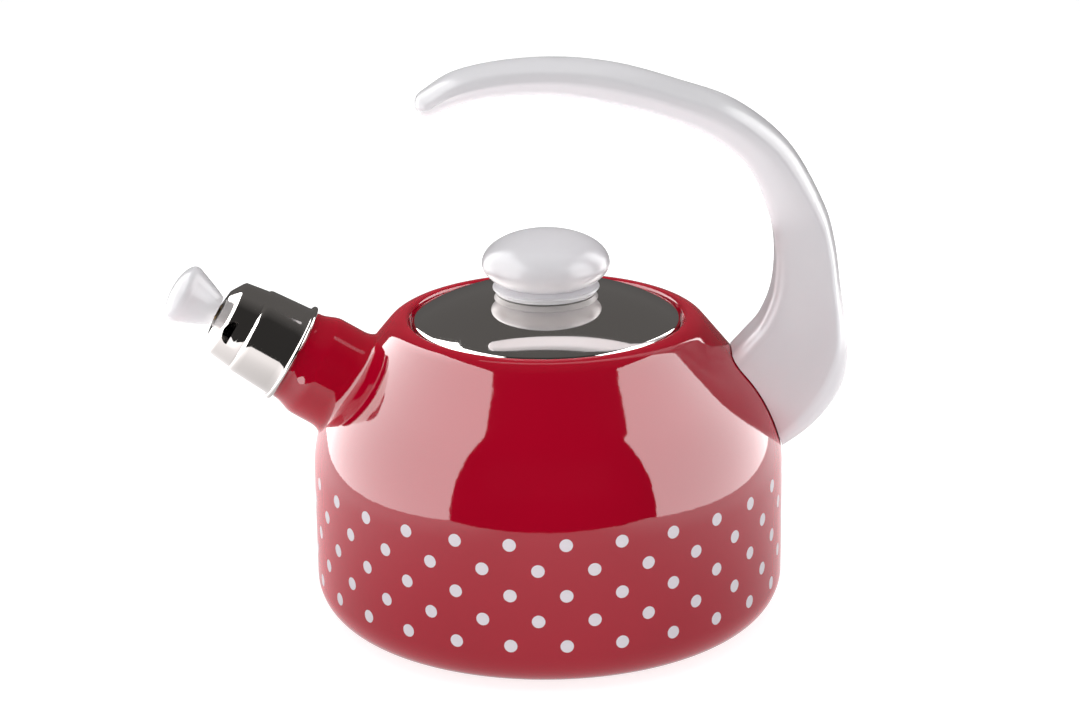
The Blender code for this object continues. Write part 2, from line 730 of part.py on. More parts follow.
def loft(name, finish, first, inset):
    """A closed skin over the handle's sections from one of them to the root, moved in by inset."""
    count = (len(HANDLE_SECTIONS) - 1 - first) * SECTIONS_BETWEEN + 1
    sections = [between(HANDLE_SECTIONS, first + i / SECTIONS_BETWEEN) for i in range(count)]
    outlines = [section_ring(section, inset) for section in sections]
    if first == 0:
        outlines = tip_rings(outlines[0]) + outlines
    made = bmesh.new()
    rings = [[made.verts.new(point) for point in outline] for outline in outlines]
    for low, high in zip(rings, rings[1:]):
        for i in range(SECTION_POINTS):
            j = (i + 1) % SECTION_POINTS
            made.faces.new((low[i], low[j], high[j], high[i]))
    made.faces.new(rings[0])
    made.faces.new(rings[-1])
    bmesh.ops.recalc_face_normals(made, faces=made.faces)
    mesh = bpy.data.meshes.new(name)
    made.to_mesh(mesh)
    made.free()
    return add_object(name, mesh, finish)


def screw_place(handle_axis, piece):
    """On the handle screw's axis, with Z from the screw's head towards the bracket's tongue."""
    rotation = (0, -math.pi / 2, 0)
    return place(piece, handle_axis, (0, 0, BRACKET_SCREW_REACH), rotation)


def make_handle(handle_axis, finish):
    handle = loft("handle", finish, 0, 0.0)
    foot = Vector(handle_axis.location)
    place(handle, None, foot)
    cavity = place(loft("handle_cavity_cutter", None, CAVITY_FIRST_SECTION, HANDLE_WALL), None, foot)
    outside = -HANDLE_SCREW_HOLE_REACH
    boss_radius = HANDLE_SCREW_RADIUS + SCREW_HOLE_CLEARANCE + HANDLE_BOSS_WALL
    boss_top = -BRACKET_SHEET / 2 - GAP
    boss = cylinder("handle_boss_tool", boss_radius, outside, boss_top)
    cut(cavity, screw_place(handle_axis, boss))
    cut(handle, cavity)
    hole_radius = HANDLE_SCREW_RADIUS + SCREW_HOLE_CLEARANCE
    recess_radius = HANDLE_SCREW_HEAD_RADIUS + SCREW_HOLE_CLEARANCE
    recess_top = boss_top - HANDLE_SCREW_FLOOR
    stepped = [(0, boss_top + GAP), (hole_radius, boss_top + GAP), (hole_radius, recess_top)]
    stepped += [(recess_radius, recess_top), (recess_radius, outside), (0, outside)]
    hole = turned("handle_screw_hole_cutter", stepped, None, TUBE_STEPS)
    cut(handle, screw_place(handle_axis, hole))
    cut(handle, body_cutter("handle_foot_cutter", HANDLE_BODY_GAP))
    return handle


def make_bracket(handle_axis, finish):
    """A bent steel strip: its foot is welded to the shoulder and its tongue stands out in the handle."""
    half = BRACKET_WIDTH / 2
    sheet = BRACKET_SHEET / 2
    corners = (
        (-sheet, BRACKET_REACH),
        (sheet, BRACKET_REACH),
        (sheet, 0),
        (sheet, -BRACKET_FOOT_DEPTH),
        (-BRACKET_FOOT_LENGTH, -BRACKET_FOOT_DEPTH),
        (-BRACKET_FOOT_LENGTH, BRACKET_FOOT_HEIGHT),
        (-sheet, BRACKET_FOOT_HEIGHT),
    )
    points = [(x, y, z) for y in (-half, half) for x, z in corners]
    count = len(corners)
    faces = [tuple(range(count)), tuple(range(2 * count - 1, count - 1, -1))]
    faces += [(i, i + count, (i + 1) % count + count, (i + 1) % count) for i in range(count)]
    bracket = add_object("handle_bracket", mesh_of("handle_bracket", points, faces), finish)
    made = bmesh.new()
    made.from_mesh(bracket.data)
    bmesh.ops.recalc_face_normals(made, faces=made.faces)
    made.to_mesh(bracket.data)
    made.free()
    place(bracket, handle_axis)
    hole = cylinder("bracket_hole_cutter", HANDLE_SCREW_RADIUS + GAP, -2 * BRACKET_SHEET, 2 * BRACKET_SHEET)
    cut(bracket, screw_place(handle_axis, hole))
    cut(bracket, body_cutter("bracket_foot_cutter", GAP))
    return bracket


def make_handle_fixings(handle_axis, steel):
    bore = HANDLE_SCREW_RADIUS + GAP
    nut_bottom = BRACKET_SHEET / 2 + GAP
    nut = cylinder("bracket_nut", NUT_RADIUS, nut_bottom, nut_bottom + NUT_HEIGHT, 6)
    nut.data.materials.append(steel)
    thread = cylinder("nut_bore_cutter", bore, nut_bottom - GAP, nut_bottom + NUT_HEIGHT + GAP)
    cut(screw_place(handle_axis, nut), screw_place(handle_axis, thread))
    washer_top = -BRACKET_SHEET / 2 - GAP - HANDLE_SCREW_FLOOR - GAP
    washer_bottom = washer_top - WASHER_THICKNESS
    washer = ring_profile(bore, HANDLE_SCREW_HEAD_RADIUS, washer_bottom, washer_top)
    screw_place(handle_axis, turned("handle_screw_washer", washer, steel, SMALL_STEPS))
    screw = screw_profile(
        HANDLE_SCREW_RADIUS,
        HANDLE_SCREW_HEAD_RADIUS,
        washer_bottom - GAP,
        HANDLE_SCREW_HEAD,
        nut_bottom + NUT_HEIGHT + GAP,
    )
    screw_place(handle_axis, turned("handle_screw", screw, steel, SMALL_STEPS))


def main():
    clear_scene()
    red_enamel = material("red_enamel", 168, 12, 34, 0.12)
    white_phenolic = material("white_phenolic", 232, 231, 233, 0.25)
    mirror_steel = material("mirror_steel", 200, 198, 196, 0.06, 1.0)
    sheet_steel = material("sheet_steel", 170, 170, 170, 0.35, 1.0)
    fastener_steel = material("fastener_steel", 185, 185, 188, 0.3, 1.0)
    brass = material("brass", 200, 165, 90, 0.35, 1.0)

    spout_axis = make_spout_axis()
    handle_axis = make_handle_axis()
    make_body_shell(spout_axis, red_enamel)
    make_spout(spout_axis, red_enamel)
    make_bracket(handle_axis, red_enamel)
    smooth(make_handle(handle_axis, white_phenolic))
    make_handle_fixings(handle_axis, fastener_steel)
    make_lid_plate(mirror_steel)
    make_lid_skirt(sheet_steel)
    make_lid_knob(white_phenolic)
    make_lid_fixings(fastener_steel, brass)
    make_whistle_cap(spout_axis, mirror_steel)
    make_reeds(spout_axis, sheet_steel)
    make_whistle_knob(spout_axis, white_phenolic)
    make_whistle_fixings(spout_axis, fastener_steel, brass)


main()
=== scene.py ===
import json
import math

import bmesh
import bpy
from mathutils import Matrix, Vector


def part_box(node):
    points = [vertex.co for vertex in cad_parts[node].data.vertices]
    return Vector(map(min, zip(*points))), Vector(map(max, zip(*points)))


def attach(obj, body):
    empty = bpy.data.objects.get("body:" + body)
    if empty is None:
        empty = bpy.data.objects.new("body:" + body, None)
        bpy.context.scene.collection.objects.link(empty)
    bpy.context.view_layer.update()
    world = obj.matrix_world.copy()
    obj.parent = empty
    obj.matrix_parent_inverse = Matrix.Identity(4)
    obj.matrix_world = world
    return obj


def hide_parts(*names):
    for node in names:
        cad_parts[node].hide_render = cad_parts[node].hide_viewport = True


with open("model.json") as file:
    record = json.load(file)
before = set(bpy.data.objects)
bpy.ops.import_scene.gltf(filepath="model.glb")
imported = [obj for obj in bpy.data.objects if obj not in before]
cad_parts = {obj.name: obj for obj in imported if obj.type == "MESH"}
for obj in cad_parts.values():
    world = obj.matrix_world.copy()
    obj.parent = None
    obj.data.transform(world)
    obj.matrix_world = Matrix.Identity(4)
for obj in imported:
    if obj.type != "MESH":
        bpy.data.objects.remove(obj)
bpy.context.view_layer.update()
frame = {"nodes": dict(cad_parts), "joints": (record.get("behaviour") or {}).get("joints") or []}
MM = 0.001

# ---------------------------------------------------------------------------------------------------
# Kettle body. One steel sheet drawn into a straight wall, an arched shoulder and a cone, its mouth
# rolled over and pressed down into a ledge for the lid. It is dipped and fired in glossy red vitreous
# enamel outside, with a dark speckled ground coat inside, and the white dots are a fired-on transfer.

BODY_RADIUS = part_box("body_shell")[1].x
BODY_SHEET = 1.2 * MM
BASE_CORNER = 15.5 * MM
WALL_HEIGHT = 57.2 * MM
SHOULDER_RADIUS = 57.5 * MM
SHOULDER_DEGREES = 39.7
MOUTH_CREST_RADIUS = 53.8 * MM
MOUTH_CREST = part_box("body_shell")[1].z
MOUTH_OUTER_ROLL = 9.3 * MM
MOUTH_INNER_ROLL = 1.5 * MM
LEDGE_HEIGHT = MOUTH_CREST - 3.6 * MM
LEDGE_WIDTH = 2.6 * MM
LEDGE_ROUNDING = 0.75 * MM
LEDGE_START = MOUTH_CREST_RADIUS - MOUTH_INNER_ROLL
NECK_RADIUS = LEDGE_START - LEDGE_WIDTH - LEDGE_ROUNDING
NECK_DEPTH = 4.0 * MM
BODY_SIDES = 160
# The first ring of a piece that is closed to a point is this small.
POINT = 0.05 * MM


def arc(centre, radius, start, end, count):
    """Points on an arc, from one angle to another in degrees, as (distance from the axis, height)."""
    made = []
    for i in range(count + 1):
        angle = math.radians(start + (end - start) * i / count)
        made.append((centre[0] + radius * math.cos(angle), centre[1] + radius * math.sin(angle)))
    return made


def straight(start, end, count):
    """Evenly spaced points after the start of a straight line, up to its end."""
    made = []
    for i in range(1, count + 1):
        share = i / count
        made.append((start[0] + (end[0] - start[0]) * share, start[1] + (end[1] - start[1]) * share))
    return made


def draw_up(name, rings, sides, close_start=False, close_end=False, join_ends=False):
    """A turned piece, drawn up ring by ring from a circle: rings are (radius, height)."""
    bpy.ops.object.select_all(action="DESELECT")
    radius, height = rings[0]
    bpy.ops.mesh.primitive_circle_add(vertices=sides, radius=radius, location=(0, 0, height))
    piece = bpy.context.object
    piece.name = name
    bpy.ops.object.transform_apply(location=True, rotation=True, scale=True)
    bpy.ops.object.mode_set(mode="EDIT")
    bpy.ops.mesh.select_all(action="SELECT")
    for (last_radius, last_height), (radius, height) in zip(rings, rings[1:]):
        rise = (0, 0, height - last_height)
        bpy.ops.mesh.extrude_edges_move(TRANSFORM_OT_translate={"value": rise})
        scale = radius / last_radius
        bpy.ops.transform.resize(value=(scale, scale, 1), center_override=(0, 0, height))
    if join_ends:
        select_rings(piece, sides, (0, len(rings) - 1))
        bpy.ops.mesh.bridge_edge_loops()
    if close_end:
        select_rings(piece, sides, (len(rings) - 1,))
        bpy.ops.mesh.merge(type="CENTER")
    if close_start:
        select_rings(piece, sides, (0,))
        bpy.ops.mesh.merge(type="CENTER")
    bpy.ops.mesh.select_all(action="SELECT")
    bpy.ops.mesh.normals_make_consistent(inside=False)
    bpy.ops.object.mode_set(mode="OBJECT")
    return piece


def select_rings(piece, sides, rings):
    """In edit mode, selects only the points of these rings."""
    bpy.ops.mesh.select_all(action="DESELECT")
    cage = bmesh.from_edit_mesh(piece.data)
    cage.verts.ensure_lookup_table()
    for ring in rings:
        for vert in cage.verts[ring * sides:(ring + 1) * sides]:
            vert.select = True
    cage.select_flush(True)
    bmesh.update_edit_mesh(piece.data)


def apply_modifier(piece, kind, **settings):
    """Adds a modifier and applies it at once."""
    bpy.ops.object.select_all(action="DESELECT")
    bpy.context.view_layer.objects.active = piece
    piece.select_set(True)
    modifier = piece.modifiers.new(kind.lower(), kind)
    for key, value in settings.items():
        setattr(modifier, key, value)
    bpy.ops.object.modifier_apply(modifier=modifier.name)


def cut_away(piece, cutter):
    apply_modifier(piece, "BOOLEAN", operation="DIFFERENCE", solver="EXACT", object=cutter)
    bpy.data.objects.remove(cutter)


def shade(piece, degrees=32):
    """Smooth shading, with edges sharper than this angle left crisp."""
    bpy.ops.object.select_all(action="DESELECT")
    bpy.context.view_layer.objects.active = piece
    piece.select_set(True)
    bpy.ops.object.shade_smooth_by_angle(angle=math.radians(degrees))


def stand_for(piece, node, body):
    """The piece rides on its body and stands for the plain solid of the same part."""
    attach(piece, body)
    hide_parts(node)


def finish_solids(material, *nodes):
    """Plain solids that are shown as they are get their look."""
    for node in nodes:
        frame["nodes"][node].data.materials.clear()
        frame["nodes"][node].data.materials.append(material)


def body_outline(grow=0.0):
    """The body's outside from the middle of its base to the crest of its mouth, moved out by grow."""
    shoulder_centre = (BODY_RADIUS - SHOULDER_RADIUS, WALL_HEIGHT)
    roll_centre = (MOUTH_CREST_RADIUS, MOUTH_CREST - MOUTH_OUTER_ROLL)
    corner_centre = (BODY_RADIUS - BASE_CORNER, BASE_CORNER)
    outline = [(share * corner_centre[0], -grow) for share in (0.001, 0.35, 0.7, 0.96)]
    outline += arc(corner_centre, BASE_CORNER + grow, -90, 0, 14)
    outline += straight((BODY_RADIUS + grow, BASE_CORNER), (BODY_RADIUS + grow, WALL_HEIGHT), 4)[:-1]
    outline += arc(shoulder_centre, SHOULDER_RADIUS + grow, 0, SHOULDER_DEGREES, 16)
    roll = arc(roll_centre, MOUTH_OUTER_ROLL + grow, SHOULDER_DEGREES, 90, 10)
    return outline + straight(outline[-1], roll[0], 4)[:-1] + roll


def linear(code):
    """A six-digit sRGB colour code as linear red, green, blue and full alpha."""
    made = []
    for start in (0, 2, 4):
        value = int(code[start:start + 2], 16) / 255
        made.append(value / 12.92 if value <= 0.04045 else ((value + 0.055) / 1.055) ** 2.4)
    return (*made, 1.0)


def new_material(name, colour, metallic, roughness, **sockets):
    """A material whose constants sit on its shader's own sockets."""
    made = bpy.data.materials.new(name)
    made.use_nodes = True
    shader = made.node_tree.nodes["Principled BSDF"]
    shader.inputs["Base Color"].default_value = linear(colour)
    shader.inputs["Metallic"].default_value = metallic
    shader.inputs["Roughness"].default_value = roughness
    for key, value in sockets.items():
        shader.inputs[key.replace("_", " ")].default_value = value
    return made


def add_node(material, kind, inputs, **settings):
    """Adds a node with its settings. Inputs are values, or sockets to link, by name or number."""
    made = material.node_tree.nodes.new(kind)
    for key, value in settings.items():
        setattr(made, key, value)
    for key, value in inputs.items():
        if isinstance(value, bpy.types.NodeSocket):
            material.node_tree.links.new(value, made.inputs[key])
        else:
            made.inputs[key].default_value = value
    return made.outputs[0]


def shader_of(material):
    return material.node_tree.nodes["Principled BSDF"].inputs


def drive(material, socket, source):
    """Links one of the shader's sockets to a node's output."""
    material.node_tree.links.new(source, shader_of(material)[socket])


def parts_of(material, vector):
    """The X, Y and Z outputs of a vector."""
    made = material.node_tree.nodes.new("ShaderNodeSeparateXYZ")
    material.node_tree.links.new(vector, made.inputs[0])
    return made.outputs


def length_of(material, vector):
    made = material.node_tree.nodes.new("ShaderNodeVectorMath")
    made.operation = "LENGTH"
    material.node_tree.links.new(vector, made.inputs[0])
    return made.outputs["Value"]


def noise(material, place, scale, detail=2.0):
    inputs = {"Vector": place, "Scale": scale, "Detail": detail}
    return add_node(material, "ShaderNodeTexNoise", inputs)


def bump_from(material, height, distance, **inputs):
    inputs |= {"Strength": 1.0, "Distance": distance, "Height": height}
    return add_node(material, "ShaderNodeBump", inputs)


def spread(material, value, low, high, **inputs):
    """A value from 0 to 1, or between other ends that are given, spread from low to high."""
    inputs = {key.replace("_", " "): end for key, end in inputs.items()}
    inputs |= {"Value": value, "To Min": low, "To Max": high}
    return add_node(material, "ShaderNodeMapRange", inputs)


def mix(material, share, first, second):
    inputs = {"Fac": share, "Color1": first, "Color2": second}
    return add_node(material, "ShaderNodeMixRGB", inputs)


def object_place(material):
    add_node(material, "ShaderNodeTexCoord", {})
    return material.node_tree.nodes[-1].outputs["Object"]


# Vitreous enamel is a glass skin: a hard, wet gloss over a deep colour, with the faint waviness that
# it flows to in the kiln. Its index is that of glass.
ENAMEL_RED = "AC0022"
ENAMEL_THIN = "A60020"
ENAMEL_THICK = "B20025"
ENAMEL_CLOUDS = 40.0
ENAMEL_DEPTHS = 22.0
DOT_WHITE = "EDE7EE"
ENAMEL_WAVE = 3.5 * MM
ENAMEL_WAVE_HEIGHT = 0.014 * MM
ENAMEL_SWELL = 11 * MM
ENAMEL_SWELL_HEIGHT = 0.03 * MM
DOT_RADIUS = 2.5 * MM
DOT_EDGE = 0.12 * MM
DOT_RAGGEDNESS = 900.0
DOT_ROWS = 5
DOT_TOP_ROW = 57.8 * MM
DOT_ROW_PITCH = 9.82 * MM
DOT_PITCH = math.radians(13.09)
DOT_FIRST = math.radians(-74.655)
DOT_SEAM = math.radians(95.4)
DOTS_BACK = -14
DOTS_FORWARD = 12


def enamel_gloss(material, place):
    """Kiln waviness in the surface, and a gloss that varies a little from place to place."""
    swell = bump_from(material, noise(material, place, 1 / ENAMEL_SWELL), ENAMEL_SWELL_HEIGHT)
    wave = noise(material, place, 1 / ENAMEL_WAVE)
    drive(material, "Normal", bump_from(material, wave, ENAMEL_WAVE_HEIGHT, Normal=swell))
    cloud = noise(material, place, ENAMEL_CLOUDS, 3.0)
    drive(material, "Roughness", spread(material, cloud, 0.025, 0.07))


def maths(material, operation, first, second=0.0):
    return add_node(material, "ShaderNodeMath", {0: first, 1: second}, operation=operation)


def enamel_depth(material, place):
    """The slow change of colour where the enamel ran thinner or thicker."""
    depth = noise(material, place, ENAMEL_DEPTHS)
    return mix(material, depth, linear(ENAMEL_THIN), linear(ENAMEL_THICK))


red_enamel = new_material("Vitreous enamel, glossy red", ENAMEL_RED, 0.0, 0.04, IOR=1.56)
enamel_place = object_place(red_enamel)
enamel_gloss(red_enamel, enamel_place)
drive(red_enamel, "Base Color", enamel_depth(red_enamel, enamel_place))

dotted_enamel = new_material("Vitreous enamel, red with white dots", ENAMEL_RED, 0.0, 0.04, IOR=1.56)
dotted_place = object_place(dotted_enamel)
enamel_gloss(dotted_enamel, dotted_place)
axes = parts_of(dotted_enamel, dotted_place)
facing = maths(dotted_enamel, "MULTIPLY", axes["Y"], -1.0)
turn = maths(dotted_enamel, "ARCTAN2", axes["X"], facing)
past_seam = maths(dotted_enamel, "GREATER_THAN", turn, DOT_SEAM)
whole_turn = maths(dotted_enamel, "MULTIPLY", past_seam, 2 * math.pi)
turn = maths(dotted_enamel, "SUBTRACT", turn, whole_turn)
row_place = maths(dotted_enamel, "SUBTRACT", DOT_TOP_ROW, axes["Z"])
row_place = maths(dotted_enamel, "DIVIDE", row_place, DOT_ROW_PITCH)
row = maths(dotted_enamel, "ROUND", row_place)
row = add_node(dotted_enamel, "ShaderNodeClamp", {"Value": row, "Min": 0.0, "Max": DOT_ROWS - 1})
up = maths(dotted_enamel, "MULTIPLY", maths(dotted_enamel, "SUBTRACT", row_place, row), DOT_ROW_PITCH)
stagger = maths(dotted_enamel, "MULTIPLY", maths(dotted_enamel, "MODULO", row, 2.0), 0.5)
dot_place = maths(dotted_enamel, "SUBTRACT", turn, DOT_FIRST)
dot_place = maths(dotted_enamel, "DIVIDE", dot_place, DOT_PITCH)
dot_place = maths(dotted_enamel, "SUBTRACT", dot_place, stagger)
dot = maths(dotted_enamel, "ROUND", dot_place)
dot = add_node(dotted_enamel, "ShaderNodeClamp", {"Value": dot, "Min": DOTS_BACK, "Max": DOTS_FORWARD})
across = maths(dotted_enamel, "SUBTRACT", dot_place, dot)
across = maths(dotted_enamel, "MULTIPLY", across, DOT_PITCH * BODY_RADIUS)
offset = add_node(dotted_enamel, "ShaderNodeCombineXYZ", {"X": across, "Y": up})
ragged = noise(dotted_enamel, dotted_place, DOT_RAGGEDNESS)
ragged = maths(dotted_enamel, "MULTIPLY", maths(dotted_enamel, "SUBTRACT", ragged, 0.5), DOT_EDGE)
reach = maths(dotted_enamel, "ADD", length_of(dotted_enamel, offset), ragged)
in_dot = spread(dotted_enamel, reach, 0.0, 1.0, From_Min=DOT_RADIUS, From_Max=DOT_RADIUS - DOT_EDGE)
dotted_red = enamel_depth(dotted_enamel, dotted_place)
drive(dotted_enamel, "Base Color", mix(dotted_enamel, in_dot, dotted_red, linear(DOT_WHITE)))

# The ground coat is a near-black cobalt enamel with fine pale specks, a little less glossy.
SPECK_SIZE = 1.4 * MM
GROUND_BLACK = "14161B"
SPECK_GREY = "8E949C"
GROUND_WAVE_HEIGHT = 0.03 * MM
ground_enamel = new_material("Ground-coat enamel, speckled black", GROUND_BLACK, 0.0, 0.16, IOR=1.52)
ground_place = object_place(ground_enamel)
specks = ground_enamel.node_tree.nodes.new("ShaderNodeTexVoronoi")
specks.inputs["Scale"].default_value = 1 / SPECK_SIZE
ground_enamel.node_tree.links.new(ground_place, specks.inputs["Vector"])
speck = spread(ground_enamel, specks.outputs["Distance"], 0.0, 0.55, From_Min=0.2, From_Max=0.12)
drive(ground_enamel, "Base Color", mix(ground_enamel, speck, linear(GROUND_BLACK), linear(SPECK_GREY)))
ground_wave = noise(ground_enamel, ground_place, 1 / ENAMEL_WAVE)
drive(ground_enamel, "Normal", bump_from(ground_enamel, ground_wave, GROUND_WAVE_HEIGHT))

inner_roll_centre = (MOUTH_CREST_RADIUS, MOUTH_CREST - MOUTH_INNER_ROLL)
mouth_outline = arc(inner_roll_centre, MOUTH_INNER_ROLL, 90, 180, 8)[1:]
mouth_outline.append((LEDGE_START - 0.3 * LEDGE_WIDTH, LEDGE_HEIGHT + 0.85 * MM))
mouth_outline.append((LEDGE_START - 0.6 * LEDGE_WIDTH, LEDGE_HEIGHT + 0.3 * MM))
mouth_outline.append((NECK_RADIUS + LEDGE_ROUNDING, LEDGE_HEIGHT))
mouth_outline.append((NECK_RADIUS, LEDGE_HEIGHT - LEDGE_ROUNDING))
mouth_outline.append((NECK_RADIUS, LEDGE_HEIGHT - NECK_DEPTH))
kettle_body = draw_up("kettle_body", body_outline() + mouth_outline, BODY_SIDES, close_start=True)
kettle_body.data.materials.append(dotted_enamel)
kettle_body.data.materials.append(ground_enamel)
apply_modifier(kettle_body, "SOLIDIFY", thickness=BODY_SHEET, offset=-1, use_even_offset=True)


def coat_inside(piece, is_inside):
    """Gives the second material to the faces that the test picks."""
    for face in piece.data.polygons:
        if is_inside(face):
            face.material_index = 1


def inside_of_body(face):
    outwards = Vector((face.center.x, face.center.y, 0)).dot(face.normal)
    underside = face.center.z < 0.2 * MM and face.normal.z < -0.5
    rim = face.center.z > LEDGE_HEIGHT and math.hypot(face.center.x, face.center.y) > NECK_RADIUS
    in_wall = outwards < -1e-9 and not rim
    floor = face.normal.z > 0.5 and face.center.z < 5 * MM
    ledge = rim and face.normal.z < 0
    return in_wall or floor or underside or ledge


# ---------------------------------------------------------------------------------------------------
# Spout. A drawn steel tube with a swelling foot, welded over a hole in the shoulder before enamelling,
# so the enamel leaves a small fillet round it. Its tapered end holds the whistle by friction.

whistle_joint = next(joint for joint in frame["joints"] if joint["name"] == "whistle_pull")
pull = Vector(whistle_joint["axis"]).normalized()
insert_low, insert_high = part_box("whistle_knob_insert")
INSERT_FORWARD = 37.2 * MM
WHISTLE_SEAT = 21.8 * MM
seat_point = (insert_low + insert_high) / 2 - pull * INSERT_FORWARD
spout_root = seat_point - pull * WHISTLE_SEAT
spout_turn = Vector((0, 0, 1)).rotation_difference(pull).to_matrix().to_4x4()
SPOUT_RADIUS = 20.3 * MM
SPOUT_NECK_RADIUS = 18.0 * MM
SPOUT_SHEET = 1.2 * MM
SPOUT_FILLET = 2.2 * MM
SPOUT_FILLET_LENGTH = 4.6 * MM
SPOUT_BEND_LENGTH = 9.0 * MM
WHISTLE_SEAT_LENGTH = 2.2 * MM
PLUG_LENGTH = 15.0 * MM
PLUG_RADIUS = 17.3 * MM
PLUG_TAPER = 0.9 * MM
TUBE_SIDES = 128
FILLET_RINGS = 10
BEND_RINGS = 14
FOOT_SINK = 0.05 * MM
RAY_START = 40 * MM
SPOUT_CUT = 60 * MM


def lay_on_axis(piece, origin):
    """Moves a piece made upright at the origin onto the spout's axis, its place in its mesh."""
    bpy.ops.object.select_all(action="DESELECT")
    bpy.context.view_layer.objects.active = piece
    piece.select_set(True)
    piece.matrix_world = Matrix.Translation(origin) @ spout_turn
    bpy.ops.object.transform_apply(location=True, rotation=True, scale=True)


def spout_bend(wall):
    """The tube's rings from its foot to its narrower neck, moved in by a wall."""
    made = []
    for i in range(BEND_RINGS + 1):
        share = i / BEND_RINGS
        swell = (1 + math.cos(math.pi * share)) / 2
        radius = SPOUT_NECK_RADIUS + (SPOUT_RADIUS - SPOUT_NECK_RADIUS) * swell - wall
        height = WHISTLE_SEAT - WHISTLE_SEAT_LENGTH - SPOUT_BEND_LENGTH * (1 - share)
        made.append((radius, height))
    return made


spout_rings = []
for i in range(FILLET_RINGS + 1):
    turn_angle = math.pi / 2 * (1 - i / FILLET_RINGS)
    spout_rings.append((SPOUT_RADIUS + SPOUT_FILLET * (1 - math.cos(turn_angle)),
                        SPOUT_FILLET_LENGTH * (1 - math.sin(turn_angle))))
spout_rings += spout_bend(0.0)
lip = SPOUT_SHEET / 2
mouth_height = WHISTLE_SEAT + PLUG_LENGTH
mouth_radius = PLUG_RADIUS - PLUG_TAPER
spout_rings.append((PLUG_RADIUS, WHISTLE_SEAT))
spout_rings += arc((mouth_radius - lip, mouth_height - lip), lip, 0, 180, 8)
spout_rings.append((PLUG_RADIUS - SPOUT_SHEET, WHISTLE_SEAT))
spout_rings += spout_bend(SPOUT_SHEET)[::-1]
spout_rings.append((SPOUT_RADIUS - SPOUT_SHEET, -SPOUT_SHEET))
spout_tube = draw_up("spout_tube", spout_rings, TUBE_SIDES, join_ends=True)
lay_on_axis(spout_tube, spout_root)
# The foot's rings follow the body's curve: each point slides along the axis onto the enamel.
last_ring = len(spout_rings) - 1
for ring in [*range(FILLET_RINGS + 1), last_ring]:
    lift = spout_rings[ring][1] - (FOOT_SINK if ring == 0 else 0)
    for vert in spout_tube.data.vertices[ring * TUBE_SIDES:(ring + 1) * TUBE_SIDES]:
        along = (vert.co - spout_root).dot(pull)
        side = vert.co - pull * along
        hit, place, _, _ = kettle_body.ray_cast(side + pull * RAY_START, -pull)
        if hit:
            vert.co = place + pull * lift
spout_tube.data.materials.append(red_enamel)
spout_tube.data.materials.append(ground_enamel)


def inside_of_spout(face):
    along = (face.center - spout_root).dot(pull)
    out = face.center - spout_root - pull * along
    return out.dot(face.normal) < -1e-9 and out.length < SPOUT_RADIUS - SPOUT_SHEET / 2


coat_inside(spout_tube, inside_of_spout)
shade(spout_tube, 40)
stand_for(spout_tube, "spout", "kettle")

# The hole under the spout, a little wider than its bore so that the tube's wall lines it.
bpy.ops.mesh.primitive_cylinder_add(
    vertices=TUBE_SIDES, radius=SPOUT_RADIUS - SPOUT_SHEET / 2, depth=SPOUT_CUT
)
spout_hole = bpy.context.object
lay_on_axis(spout_hole, spout_root)
cut_away(kettle_body, spout_hole)
coat_inside(kettle_body, inside_of_body)
shade(kettle_body)
stand_for(kettle_body, "body_shell", "kettle")

# ---------------------------------------------------------------------------------------------------
# Handle bracket. A bent steel strip welded to the shoulder and enamelled with the body. The handle's
# hollow root slides over it and hides it, so it keeps its plain solid, with the nut on its tongue.

finish_solids(red_enamel, "handle_bracket")

# Bright zinc plate: a bluish silver with soft cloudy gloss.
zinc = new_material("Zinc-plated steel, bright", "B9BABE", 1.0, 0.3)
zinc_place = object_place(zinc)
ZINC_CLOUDS = 600.0
drive(zinc, "Roughness", spread(zinc, noise(zinc, zinc_place, ZINC_CLOUDS, 4.0), 0.22, 0.42))
finish_solids(zinc, "bracket_nut", "handle_screw", "handle_screw_washer", "lid_knob_washer",
              "whistle_knob_washer", "lid_knob_screw", "whistle_knob_screw")

# ---------------------------------------------------------------------------------------------------
# Handle. One hollow-rooted moulding in glossy white phenolic: a swept arm with a gently crowned back,
# a ridge along each side and a flat underside, swelling to a foot that is shaped to the shoulder.

HANDLE_HEIGHT = 83.0 * MM
HANDLE_BODY_GAP = 0.4 * MM
HANDLE_WALL = 3.6 * MM
foot_rise = HANDLE_HEIGHT - WALL_HEIGHT
HANDLE_FOOT_RADIUS = BODY_RADIUS - SHOULDER_RADIUS + math.sqrt(SHOULDER_RADIUS**2 - foot_rise**2)
